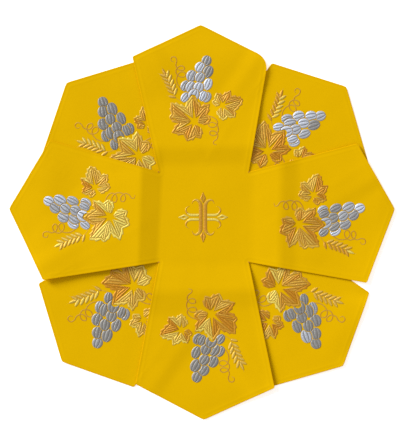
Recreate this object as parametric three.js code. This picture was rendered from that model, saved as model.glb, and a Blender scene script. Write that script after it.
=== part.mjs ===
import * as THREE from 'three';

// A chalice veil of two cross-shaped cloths, laid flat. The lower cross is turned by an eighth of a turn, so
// that its four flaps show between the four flaps of the upper one. Millimetres, +Z up, resting on z = 0.

// The cloth: face, lining and turnings together, and the clear space between the two cloths
const CLOTH_THICKNESS = 1.2;
const CLOTH_GAP = 0.3;

// The centre square of each cross, from which the flaps spread
const HALF_SQUARE = 65.5;

// Where the middle of the lower cross lies, seen from the middle of the upper one
const LOWER_SHIFT = new THREE.Vector2( 2.2, - 11.2 );

// Softened corners at a flap's shoulders and tip
const CORNER_RADIUS = 3;

// Where the upper cloth comes down to the surface between two lower flaps: it stays up for SAG_START
// past the lower cloth's edge, and is down SAG_LENGTH further on
const SAG_START = 18;
const SAG_LENGTH = 24;

// Turned-up side edges: how far in from the edge they begin, and how far from the square they are full
const LIFT_WIDTH = 16;
const LIFT_ONSET = 22;

// Where the lower cloth may begin to lift beside the upper cloth, as a share of LIFT_ONSET
const EDGE_CLEARANCE = 0.5;

// Turned-up tips: how far back from the tip they begin
const TIP_WIDTH = 70;

// Rows and columns of facets. Rows crowd towards the square, where the main folds are.
const UPPER_MESH = { columns: 12, rows: 18, crowding: 1.3 };
const LOWER_MESH = { columns: 10, rows: 10, crowding: 1 };

// One row for each flap. turn is the flap's direction in degrees. left, tip and right are its left shoulder,
// its tip and its right shoulder, each as [ along the flap from the middle of the cross, across it to its
// left ]. Each fold is a ridge across the flap: crest is its distance from the square, height how high it
// stands, and inner and outer are the lengths of its two flanks, each at the flap's left and right edge.
// liftLeft, liftRight and liftTip say how far the edges stand up.
const UPPER_FLAPS = [
	{
		turn: 0, left: [ 222, 106.4 ], tip: [ 276.6, 11.6 ], right: [ 235.7, - 95.3 ], liftRight: 0.6,
		folds: [
			{ crest: [ 47, 44 ], height: [ 3.2, 3 ], inner: [ 42, 40 ], outer: [ 24, 24 ] },
			{ crest: [ 200, 194 ], height: [ 3.4, 2 ], inner: [ 120, 50 ], outer: [ 30, 30 ] },
		],
	},
	{
		turn: 90, left: [ 232.1, 103.4 ], tip: [ 278.8, 4.4 ], right: [ 229, - 93.8 ], rightRadius: 21,
		liftRight: 0.7,
		folds: [
			{ crest: [ 34, 36 ], height: [ 2.6, 3.2 ], inner: [ 24, 24 ], outer: [ 70, 70 ] },
			{ crest: [ 166, 164 ], height: [ 1.9, 2.3 ], inner: [ 66, 60 ], outer: [ 42, 42 ] },
		],
	},
	{
		turn: 180, left: [ 232, 91.2 ], tip: [ 282.5, - 12.2 ], right: [ 222.6, - 111.2 ], liftLeft: 0.6,
		folds: [
			{ crest: [ 28.7, 24.6 ], height: [ 4.8, 5.2 ], inner: [ 27, 30 ], outer: [ 200, 72 ] },
			{ crest: [ 165, 160 ], height: [ 3.8, 1.2 ], inner: [ 60, 34 ], outer: [ 60, 40 ] },
		],
	},
	{
		turn: 270, left: [ 246.8, 102.7 ], tip: [ 293.9, 0 ], right: [ 241.8, - 98.8 ],
		liftLeft: 0.7, liftRight: 0.3,
		folds: [
			{ crest: [ 40, 43 ], height: [ 2.6, 3.2 ], inner: [ 38, 40 ], outer: [ 25, 34 ] },
			{ crest: [ 186, 180 ], height: [ 2.4, 0.6 ], inner: [ 110, 40 ], outer: [ 40, 40 ] },
		],
	},
];

const LOWER_FLAPS = [
	{ turn: 45, left: [ 234, 97.6 ], tip: [ 286, - 3 ], right: [ 230.2, - 104.6 ], liftTip: 0.8 },
	{ turn: 135, left: [ 235.7, 103 ], tip: [ 287.9, - 3.2 ], right: [ 235.4, - 101.8 ], liftTip: 0.5 },
	{ turn: 225, left: [ 239.7, 93.4 ], tip: [ 287.2, - 6.6 ], right: [ 231.2, - 110.8 ], liftTip: 0.6 },
	{
		turn: 315, left: [ 237.6, 98.8 ], tip: [ 285.8, - 3.4 ], right: [ 232.9, - 99.5 ], liftTip: 1.2,
		folds: [
			{ crest: [ 190, 190 ], height: [ 2.6, 0 ], inner: [ 48, 48 ], outer: [ 30, 30 ] },
		],
	},
];

const SATIN = { color: 0xe0b002, roughness: 0.5, metalness: 0 };

const smooth = ( t ) => THREE.MathUtils.smoothstep( t, 0, 1 );

// A point of a flap, given along and across it, in the frame of its cross
function onFlap( flap, [ along, across ] ) {

	const turn = THREE.MathUtils.degToRad( flap.turn );
	return new THREE.Vector2( along, across ).rotateAround( new THREE.Vector2(), turn );

}

// A point on the way from start to corner and on to end, with the corner rounded. step runs from 0 at start
// through 1 at the corner to 2 at end.
function roundedPath( start, corner, end, radius, step ) {

	const arm = step < 1 ? start.clone().sub( corner ) : end.clone().sub( corner );
	const length = arm.length();
	const away = Math.abs( 1 - step ) * length;
	if ( away >= radius ) return corner.clone().addScaledVector( arm, away / length );

	const first = corner.clone().add( start.clone().sub( corner ).setLength( radius ) );
	const last = corner.clone().add( end.clone().sub( corner ).setLength( radius ) );
	const turned = ( 1 + Math.sign( step - 1 ) * away / radius ) / 2;
	return new THREE.QuadraticBezierCurve( first, corner, last ).getPoint( turned );

}

// The four sides of a flap as functions of a share from 0 to 1: the side of the square and the pointed outer
// edge run from left to right, and the two side edges run outwards
function flapSides( flap ) {

	const squareLeft = onFlap( flap, [ HALF_SQUARE, HALF_SQUARE ] );
	const squareRight = onFlap( flap, [ HALF_SQUARE, - HALF_SQUARE ] );
	const left = onFlap( flap, flap.left );
	const right = onFlap( flap, flap.right );
	const tip = onFlap( flap, flap.tip );
	const leftRadius = flap.leftRadius ?? CORNER_RADIUS;
	const rightRadius = flap.rightRadius ?? CORNER_RADIUS;

	const outer = ( share ) => {

		if ( share < 0.25 ) return roundedPath( squareLeft, left, tip, leftRadius, 1 + 2 * share );
		if ( share > 0.75 ) return roundedPath( tip, right, squareRight, rightRadius, 2 * share - 1 );
		return roundedPath( left, tip, right, CORNER_RADIUS, 2 * share );

	};

	return {
		inner: ( share ) => squareLeft.clone().lerp( squareRight, share ),
		leftEdge: ( share ) => roundedPath( squareLeft, left, tip, leftRadius, share ),
		rightEdge: ( share ) => roundedPath( squareRight, right, tip, rightRadius, share ),
		outer,
	};

}

// The point of a flap at a share from left to right and a share outwards, filled in between its four sides
function flapPoint( sides, sideways, outwards ) {

	const bend = outwards * outwards;
	const point = sides.inner( sideways ).multiplyScalar( 1 - bend );
	point.addScaledVector( sides.outer( sideways ), bend );
	point.addScaledVector( sides.leftEdge( outwards ), 1 - sideways );
	point.addScaledVector( sides.rightEdge( outwards ), sideways );
	point.addScaledVector( sides.inner( 0 ), - ( 1 - bend ) * ( 1 - sideways ) );
	point.addScaledVector( sides.inner( 1 ), - ( 1 - bend ) * sideways );
	point.addScaledVector( sides.outer( 0 ), - bend * ( 1 - sideways ) );
	point.addScaledVector( sides.outer( 1 ), - bend * sideways );
	return point;

}

// The outline of a cross as corner points, anticlockwise, in the frame of the upper cross
function crossOutline( flaps, shift ) {

	const corners = flaps.flatMap( ( flap ) => [
		onFlap( flap, flap.right ),
		onFlap( flap, flap.tip ),
		onFlap( flap, flap.left ),
		onFlap( flap, [ HALF_SQUARE, HALF_SQUARE ] ),
	] );
	return corners.map( ( corner ) => corner.add( shift ) );

}

// How far a point lies outside an outline, negative inside it
function distanceOutside( outline, point ) {

	let nearest = Infinity;
	let inside = false;
	outline.forEach( ( start, index ) => {

		const end = outline[ ( index + 1 ) % outline.length ];
		const edge = end.clone().sub( start );
		const along = THREE.MathUtils.clamp( point.clone().sub( start ).dot( edge ) / edge.lengthSq(), 0, 1 );
		nearest = Math.min( nearest, start.clone().addScaledVector( edge, along ).distanceTo( point ) );
		if ( ( start.y > point.y ) === ( end.y > point.y ) ) return;
		const crossing = start.x + edge.x * ( point.y - start.y ) / edge.y;
		if ( point.x < crossing ) inside = ! inside;

	} );
	return inside ? - nearest : nearest;

}

// How high a flap's folds lift the cloth, at a share from left to right and a distance out from the square
function foldLift( flap, sideways, out ) {

	const lifts = ( flap.folds ?? [] ).map( ( fold ) => {

		const [ crest, height, inner, outer ] = [ fold.crest, fold.height, fold.inner, fold.outer ].map(
			( ends ) => THREE.MathUtils.lerp( ...ends, sideways ),
		);
		const flank = out < crest ? inner : outer;
		return height * Math.max( 0, 1 - Math.abs( out - crest ) / flank );

	} );
	return lifts.reduce( ( sum, lift ) => sum + lift, 0 );

}

// How high a flap's turned-up sides and tip stand, at shares sideways and outwards
function edgeLift( flap, sides, sideways, outwards, point ) {

	const left = point.distanceTo( sides.leftEdge( outwards ) );
	const right = point.distanceTo( sides.rightEdge( outwards ) );
	const away = sides.leftEdge( outwards ).distanceTo( sides.leftEdge( 0 ) );
	const tip = point.distanceTo( onFlap( flap, flap.tip ) );
	const onset = smooth( away / LIFT_ONSET );
	const rise = ( lift, distance, width ) => ( lift ?? 0 ) * Math.max( 0, 1 - distance / width ) ** 2;
	return onset * ( rise( flap.liftLeft, left, LIFT_WIDTH ) + rise( flap.liftRight, right, LIFT_WIDTH ) )
		+ rise( flap.liftTip, tip, TIP_WIDTH );

}

const upperOutline = crossOutline( UPPER_FLAPS, new THREE.Vector2() );
const lowerOutline = crossOutline( LOWER_FLAPS, LOWER_SHIFT );

// The underside of the upper cloth where it only rests: on the lower cloth, or down between its flaps
function upperRest( point ) {

	const beyond = distanceOutside( lowerOutline, point ) - SAG_START;
	return ( CLOTH_THICKNESS + CLOTH_GAP ) * ( 1 - smooth( beyond / SAG_LENGTH ) );

}

// The lower cloth lies flat, and only what shows of it may lift, clear of the upper cloth's edge
function lowerFreedom( point ) {

	return smooth( distanceOutside( upperOutline, point ) / LIFT_ONSET - EDGE_CLEARANCE );

}

// One cross as a closed sheet: a grid over the square and each flap, doubled upwards and closed at the rim
function crossGeometry( { flaps, shift, mesh, rest, freedom } ) {

	const { columns, rows, crowding } = mesh;
	const places = new Map();
	const underside = [];
	const triangles = [];

	// Points on a shared side are made once
	const vertex = ( local, lift ) => {

		const point = local.clone().add( shift );
		const key = `${ Math.round( point.x * 1000 ) } ${ Math.round( point.y * 1000 ) }`;
		if ( ! places.has( key ) ) {

			places.set( key, underside.length );
			underside.push( new THREE.Vector3( point.x, point.y, rest( point ) + lift * freedom( point ) ) );

		}
		return places.get( key );

	};

	const fillGrid = ( across, down, at ) => {

		for ( let j = 0; j < down; j ++ ) {

			for ( let i = 0; i < across; i ++ ) {

				const [ a, b, c, d ] = [ at( i, j ), at( i + 1, j ), at( i + 1, j + 1 ), at( i, j + 1 ) ];
				triangles.push( [ a, c, b ], [ a, d, c ] );

			}

		}

	};

	const squarePlace = ( index ) => HALF_SQUARE * ( 2 * index / columns - 1 );
	const squareTurn = THREE.MathUtils.degToRad( flaps[ 0 ].turn );
	fillGrid( columns, columns, ( i, j ) => {

		const local = new THREE.Vector2( squarePlace( i ), squarePlace( j ) );
		return vertex( local.rotateAround( new THREE.Vector2(), squareTurn ), 0 );

	} );

	for ( const flap of flaps ) {

		const sides = flapSides( flap );
		fillGrid( columns, rows, ( i, j ) => {

			const sideways = i / columns;
			const outwards = ( j / rows ) ** crowding;
			const local = flapPoint( sides, sideways, outwards );
			const along = local.dot( onFlap( flap, [ 1, 0 ] ) );
			const fold = foldLift( flap, sideways, along - HALF_SQUARE );
			return vertex( local, fold + edgeLift( flap, sides, sideways, outwards, local ) );

		} );

	}

	return closedSheet( underside, triangles );

}

// Closes a one-sided surface into a sheet: the same surface one thickness up, and a wall along every open edge
function closedSheet( underside, triangles ) {

	const count = underside.length;
	const topside = underside.map( ( point ) => point.clone().setZ( point.z + CLOTH_THICKNESS ) );
	const open = new Map();
	const faces = [];

	for ( const [ a, b, c ] of triangles ) {

		faces.push( [ a, b, c ], [ a + count, c + count, b + count ] );
		for ( const [ from, to ] of [ [ a, b ], [ b, c ], [ c, a ] ] ) {

			if ( ! open.delete( `${ to } ${ from }` ) ) open.set( `${ from } ${ to }`, [ from, to ] );

		}

	}

	for ( const [ from, to ] of open.values() ) {

		faces.push( [ to, from, from + count ], [ to, from + count, to + count ] );

	}

	const geometry = new THREE.BufferGeometry();
	const positions = [ ...underside, ...topside ].flatMap( ( point ) => point.toArray() );
	geometry.setAttribute( 'position', new THREE.Float32BufferAttribute( positions, 3 ) );
	geometry.setIndex( faces.flat() );
	geometry.computeVertexNormals();
	return geometry;

}

function cloth( name, settings ) {

	const mesh = new THREE.Mesh( crossGeometry( settings ), new THREE.MeshStandardMaterial( SATIN ) );
	mesh.name = name;
	return mesh;

}

const upperCloth = cloth( 'upper_cloth', {
	flaps: UPPER_FLAPS,
	shift: new THREE.Vector2(),
	mesh: UPPER_MESH,
	rest: upperRest,
	freedom: () => 1,
} );

const lowerCloth = cloth( 'lower_cloth', {
	flaps: LOWER_FLAPS,
	shift: LOWER_SHIFT,
	mesh: LOWER_MESH,
	rest: () => 0,
	freedom: lowerFreedom,
} );

// The origin is under the middle of the whole veil
const veil = new THREE.Group();
veil.add( upperCloth, lowerCloth );
const middle = new THREE.Box3().setFromObject( veil ).getCenter( new THREE.Vector3() );
veil.position.set( - middle.x, - middle.y, 0 );

export default veil;
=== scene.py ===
"""Looks of a chalice veil: two crossed cloths laid flat, their sprays in satin stitch, and the studio.

Plans and heights are in millimetres until a mesh is made; Blender's own units are metres.
"""

import logging
import math
from collections.abc import Iterator, Sequence
from dataclasses import dataclass, field
from enum import Enum

import bpy
import numpy as np
from bpy.types import ID, Material, Mesh, Node, NodeSocket, NodeTree, Object
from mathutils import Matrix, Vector, noise
from mathutils.bvhtree import BVHTree


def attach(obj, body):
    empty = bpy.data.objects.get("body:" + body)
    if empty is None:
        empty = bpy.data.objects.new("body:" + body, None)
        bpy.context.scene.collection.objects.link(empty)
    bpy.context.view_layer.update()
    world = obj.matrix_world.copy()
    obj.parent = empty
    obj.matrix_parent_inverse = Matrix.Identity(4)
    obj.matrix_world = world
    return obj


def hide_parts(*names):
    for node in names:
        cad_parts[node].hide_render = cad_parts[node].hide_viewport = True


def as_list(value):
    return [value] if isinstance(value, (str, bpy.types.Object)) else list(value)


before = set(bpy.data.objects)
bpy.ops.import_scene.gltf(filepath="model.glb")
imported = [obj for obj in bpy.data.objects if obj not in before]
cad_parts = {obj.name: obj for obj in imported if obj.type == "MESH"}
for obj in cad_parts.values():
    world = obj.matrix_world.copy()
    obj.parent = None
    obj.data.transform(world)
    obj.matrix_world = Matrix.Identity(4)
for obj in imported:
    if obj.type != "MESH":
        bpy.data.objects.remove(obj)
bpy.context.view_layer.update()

Array = np.ndarray
Pair = tuple[float, float]
Colour = tuple[float, float, float, float]

MM = 0.001
TINY = 1e-9
SAME_POINT = 0.001
QUARTERS = (0, 90, 180, 270)
SPRAY_SEED, LEAVES_SEED, TONES_SEED, CROSS_SEED, STITCHING_SEED = 100, 20, 70, 5, 9
BAKE_MAP = "OFBake"
CLOTH_MAP, LARGE_MAP, SMALL_MAP = 1024, 512, 256
LOG = logging.getLogger("veil")


def smooth(share: Array | float) -> Array:
    """Returns shares from 0 to 1 eased in and out, and held at 0 and 1 beyond."""
    held = np.clip(share, 0.0, 1.0)
    return held * held * (3.0 - 2.0 * held)


def between(ends: Pair, share: Array) -> Array:
    """Returns the values at shares of the way from one end to the other."""
    return ends[0] * (1 - share) + ends[1] * share


def turned(points: Array, degrees: float) -> Array:
    """Turns plan points about the middle.

    Args:
        points: Points, one a row.
        degrees: The turn, anticlockwise.

    Returns:
        The turned points.
    """
    angle = math.radians(degrees)
    cosine, sine = math.cos(angle), math.sin(angle)
    points = np.asarray(points, float)
    return points @ np.array([[cosine, sine], [-sine, cosine]])


def along_line(line: Array, shares: Array, ruler: Array | None = None) -> Array:
    """Points at shares of a line's length.

    Args:
        line: The line's points, one a row.
        shares: Shares from 0 to 1.
        ruler: The line whose length counts, if another one of as many points.

    Returns:
        One point for each share.
    """
    steps = np.linalg.norm(np.diff(line if ruler is None else ruler, axis=0), axis=1)
    reached = np.concatenate([[0.0], np.cumsum(steps)])
    reached /= max(reached[-1], TINY)
    return np.stack([np.interp(shares, reached, line[:, axis]) for axis in (0, 1)], axis=1)


def curve_through(points: Sequence[Pair], steps: int = 8) -> Array:
    """A smooth line through given points.

    Args:
        points: The points in order.
        steps: Steps between two of them.

    Returns:
        The line's points, one a row.
    """
    given = np.array(points, float)
    held = np.vstack([2 * given[0] - given[1], given, 2 * given[-1] - given[-2]])
    share = np.linspace(0, 1, steps, endpoint=False)[:, None]
    parts = []
    for a, b, c, d in zip(held, held[1:], held[2:], held[3:], strict=False):
        bend = (2 * a - 5 * b + 4 * c - d) * share**2 + (3 * b - a - 3 * c + d) * share**3
        parts.append(0.5 * (2 * b + (c - a) * share + bend))
    return np.vstack([*parts, given[-1:]])


def sideways(line: Array) -> Array:
    """Unit vectors to the left of a line.

    Args:
        line: The line's points, one a row.

    Returns:
        One unit vector for each point.
    """
    ahead = np.gradient(line, axis=0)
    ahead /= np.maximum(np.linalg.norm(ahead, axis=1, keepdims=True), TINY)
    return np.stack([-ahead[:, 1], ahead[:, 0]], axis=1)


def beside(line: Array, half: Array | float) -> tuple[Array, Array]:
    """Returns a column's rails, to the left and right of its middle line."""
    offset = sideways(line) * np.reshape(half, (-1, 1))
    return line + offset, line - offset


def rounded_path(start: Array, corner: Array, end: Array, radius: float, steps: Array) -> Array:
    """Goes from start by a rounded corner to end.

    Args:
        start: Where it begins.
        corner: The corner before it is rounded.
        end: Where it ends.
        radius: How far from the corner the rounding begins.
        steps: Places on the way: 0 at start, 1 at the corner and 2 at end.

    Returns:
        One point for each step.
    """
    steps = np.asarray(steps, float)
    back, onward = start - corner, end - corner
    arm = np.where((steps < 1)[:, None], back, onward)
    length = np.linalg.norm(arm, axis=1)
    away = np.abs(1 - steps) * length
    straight = corner + arm * (away / length)[:, None]
    first = corner + back * radius / np.linalg.norm(back)
    last = corner + onward * radius / np.linalg.norm(onward)
    bend = np.clip((1 + np.sign(steps - 1) * away / radius) / 2, 0, 1)[:, None]
    bent = (1 - bend) ** 2 * first + 2 * bend * (1 - bend) * corner + bend**2 * last
    return np.where((away >= radius)[:, None], straight, bent)


def distance_from_edge(points: Array, start: Array, end: Array) -> Array:
    """How far points lie from a straight edge.

    Args:
        points: Points, in any array ending in an axis of two.
        start: Where the edge begins.
        end: Where it ends.

    Returns:
        The distances.
    """
    edge = end - start
    share = np.clip((points - start) @ edge / (edge @ edge), 0, 1)
    return np.linalg.norm(points - start - share[..., None] * edge, axis=-1)


def distance_outside(outline: Array, points: Array) -> Array:
    """How far points lie outside an outline.

    Args:
        outline: The outline's corners in order.
        points: Points, one a row.

    Returns:
        The distances, negative inside.
    """
    nearest = np.full(len(points), np.inf)
    inside = np.zeros(len(points), bool)
    for start, end in zip(outline, np.roll(outline, -1, axis=0), strict=True):
        edge = end - start
        nearest = np.minimum(nearest, distance_from_edge(points, start, end))
        if start[1] != end[1]:
            spans = (start[1] > points[:, 1]) != (end[1] > points[:, 1])
            crossing = start[0] + edge[0] * (points[:, 1] - start[1]) / edge[1]
            inside ^= spans & (points[:, 0] < crossing)
    return np.where(inside, -nearest, nearest)


@dataclass(frozen=True)
class Billow:
    """Soft unevenness of cloth that lies loosely: its height, the size of a swelling, and its pattern."""

    height: float
    spread: float
    seed: float
    gain: float = 1.6

    def swing(self, points: Array) -> Array:
        """Returns values from about -1 to 1 at plan points."""
        places = [Vector((x / self.spread, y / self.spread, self.seed)) for x, y in points]
        return np.array([noise.noise(place) for place in places]) * self.gain

    def rise(self, points: Array) -> Array:
        """Returns heights at plan points, none below 0."""
        return np.maximum(0, self.height * (1 + self.swing(points)))


@dataclass(frozen=True)
class Fold:
    """A soft ridge or trough across a flap, out from the square.

    Attributes:
        crest: Its distance from the square at the flap's left and right edge, negative inside the square.
        height: Its height at the left and right edge, negative for a trough.
        inner: The length of its inner flank, at both edges too.
        outer: The length of its outer flank, likewise.
        roundness: How far its bends are rounded.
        rounding: The steps over which a bend is spread, in that measure.
    """

    crest: Pair
    height: Pair
    inner: Pair
    outer: Pair
    roundness: float = 3.0
    rounding: tuple[float, ...] = (-1.5, -1.0, -0.5, 0.0, 0.5, 1.0, 1.5)

    def rise(self, beyond: Array, side: Array) -> Array:
        """The fold's height.

        Args:
            beyond: Distances out from the square.
            side: Shares across the flap, from left to right.

        Returns:
            Heights.
        """
        held = np.clip(side, 0, 1)
        crest, height = between(self.crest, side), between(self.height, side)
        inner, outer = between(self.inner, held), between(self.outer, held)
        shape = np.zeros(np.broadcast(beyond, side).shape)
        for step in self.rounding:
            away = beyond - crest + step * self.roundness
            shape += np.clip(np.where(away < 0, 1 + away / inner, 1 - away / outer), 0, 1)
        return height * shape / len(self.rounding)


@dataclass(frozen=True)
class Flap:
    """One flap of a cross, given along it from the middle of the cross and across it to its left.

    Attributes:
        lift_left, lift_right, lift_tip: How far the side edges and the tip stand up.
        lift_outer: How far the outer edge stands up to the left and to the right of the tip.
        folds: Its folds, the main crease first.
    """

    turn: float
    left: Pair
    tip: Pair
    right: Pair
    left_radius: float = 3.0
    right_radius: float = 3.0
    lift_left: float = 0.0
    lift_right: float = 0.0
    lift_tip: float = 0.0
    lift_outer: Pair = (0.0, 0.0)
    folds: tuple[Fold, ...] = ()

    def placed(self, along: float, across: float) -> Array:
        """Returns a point of the flap in its cross's frame."""
        return turned(np.array([along, across]), self.turn)


@dataclass(frozen=True)
class FlapPatch:
    """The surface of one flap, filled in between its four sides."""

    flap: Flap
    half_square: float
    tip_radius: float = 3.0
    lift_width: float = 16.0
    lift_onset: float = 22.0
    tip_width: float = 70.0
    spill: float = 48.0
    reach: float = 14.0
    side_reach: Pair = (-0.3, 1.3)

    def outer(self, shares: Array) -> Array:
        """The pointed outer edge.

        Args:
            shares: Shares from the left shoulder to the right one.

        Returns:
            One point for each share.
        """
        flap, half = self.flap, self.half_square
        left, tip, right = (flap.placed(*place) for place in (flap.left, flap.tip, flap.right))
        square_left, square_right = flap.placed(half, half), flap.placed(half, -half)
        at_left = rounded_path(square_left, left, tip, flap.left_radius, 1 + 2 * shares)
        at_right = rounded_path(tip, right, square_right, flap.right_radius, 2 * shares - 1)
        at_tip = rounded_path(left, tip, right, self.tip_radius, 2 * shares)
        by_side = np.where((shares < 0.25)[:, None], at_left, at_tip)
        return np.where((shares > 0.75)[:, None], at_right, by_side)

    def edges(self, shares: Array) -> tuple[Array, Array]:
        """The two side edges.

        Args:
            shares: Shares outwards.

        Returns:
            The left edge's points and the right edge's.
        """
        flap, half = self.flap, self.half_square
        tip = flap.placed(*flap.tip)
        sides = ((half, flap.left, flap.left_radius), (-half, flap.right, flap.right_radius))
        left, right = (
            rounded_path(flap.placed(half, across), flap.placed(*shoulder), tip, radius, shares)
            for across, shoulder, radius in sides
        )
        return left, right

    def points(self, across: Array, out: Array) -> Array:
        """The grid of the flap.

        Args:
            across: Shares from left to right.
            out: Shares outwards.

        Returns:
            Plan points by row outwards, by column, by axis.
        """
        half = self.half_square
        corners = np.stack([self.flap.placed(half, half), self.flap.placed(half, -half)])
        inner = corners[0] + across[:, None] * (corners[1] - corners[0])
        outer = self.outer(across)
        left, right = self.edges(out)
        side = across[None, :, None]
        bend = (out**2)[:, None, None]
        grid = (1 - bend) * inner[None] + bend * outer[None]
        grid += (1 - side) * left[:, None] + side * right[:, None]
        grid -= (1 - bend) * ((1 - side) * inner[0] + side * inner[-1])
        grid -= bend * ((1 - side) * outer[0] + side * outer[-1])
        return grid

    def folded(self, points: Array, beside: bool = False) -> Array:
        """How far the flap's folds lift points of the flap or of the square beside it.

        Args:
            points: Plan points, in any array ending in an axis of two.
            beside: Whether they are another flap's, where folds soon level out.

        Returns:
            Heights.
        """
        half = self.half_square
        beyond = points @ self.flap.placed(1, 0) - half
        if beside:
            beyond = np.minimum(beyond, self.reach)
        side = np.clip(0.5 - points @ self.flap.placed(0, 1) / (2 * half), *self.side_reach)
        return sum((fold.rise(beyond, side) for fold in self.flap.folds), np.zeros(beyond.shape))

    def lift(self, grid: Array, out: Array, others: Sequence["FlapPatch"]) -> Array:
        """How far folds and turned-up edges lift the flap.

        Args:
            grid: What points() returned.
            out: Shares outwards.
            others: The cross's other flaps.

        Returns:
            Heights by row and column.
        """
        flap = self.flap
        height = self.folded(grid)
        fade = 1 - smooth((grid @ flap.placed(1, 0) - self.half_square) / self.spill)
        height = height + fade * sum(other.folded(grid, beside=True) for other in others)
        left, right = self.edges(out)
        onset = smooth(np.linalg.norm(left - left[0], axis=1) / self.lift_onset)[:, None]
        for edge, lift in ((left, flap.lift_left), (right, flap.lift_right)):
            away = np.linalg.norm(grid - edge[:, None], axis=2)
            height += onset * lift * np.maximum(0, 1 - away / self.lift_width) ** 2
        tip = flap.placed(*flap.tip)
        for shoulder, lift in zip((flap.left, flap.right), flap.lift_outer, strict=True):
            away = distance_from_edge(grid, flap.placed(*shoulder), tip)
            height += lift * np.maximum(0, 1 - away / self.lift_width) ** 2
        from_tip = np.linalg.norm(grid - tip, axis=2)
        return height + flap.lift_tip * np.maximum(0, 1 - from_tip / self.tip_width) ** 2


@dataclass(frozen=True)
class PressedEdge:
    """The relief of an edge that was turned and pressed: a rim, a stitched groove and the turning's step."""

    roll_height: float = 0.13
    roll_in: float = 1.3
    roll_width: float = 1.1
    groove_depth: float = 0.04
    groove_in: float = 3.6
    groove_width: float = 1.1
    turning: float = 8.0
    turning_height: float = 0.08
    turning_slope: float = 1.4

    def height(self, inset: Array) -> Array:
        """The relief at distances in from the edge.

        Args:
            inset: Distances inside the outline, negative outside.

        Returns:
            Heights.
        """
        roll = self.roll_height * np.exp(-(((inset - self.roll_in) / self.roll_width) ** 2))
        groove = self.groove_depth * np.exp(-(((inset - self.groove_in) / self.groove_width) ** 2))
        turning = self.turning_height * (1 - smooth((inset - self.turning) / self.turning_slope + 0.5))
        return np.where(inset > -1, roll - groove + turning, 0.0)


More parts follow.
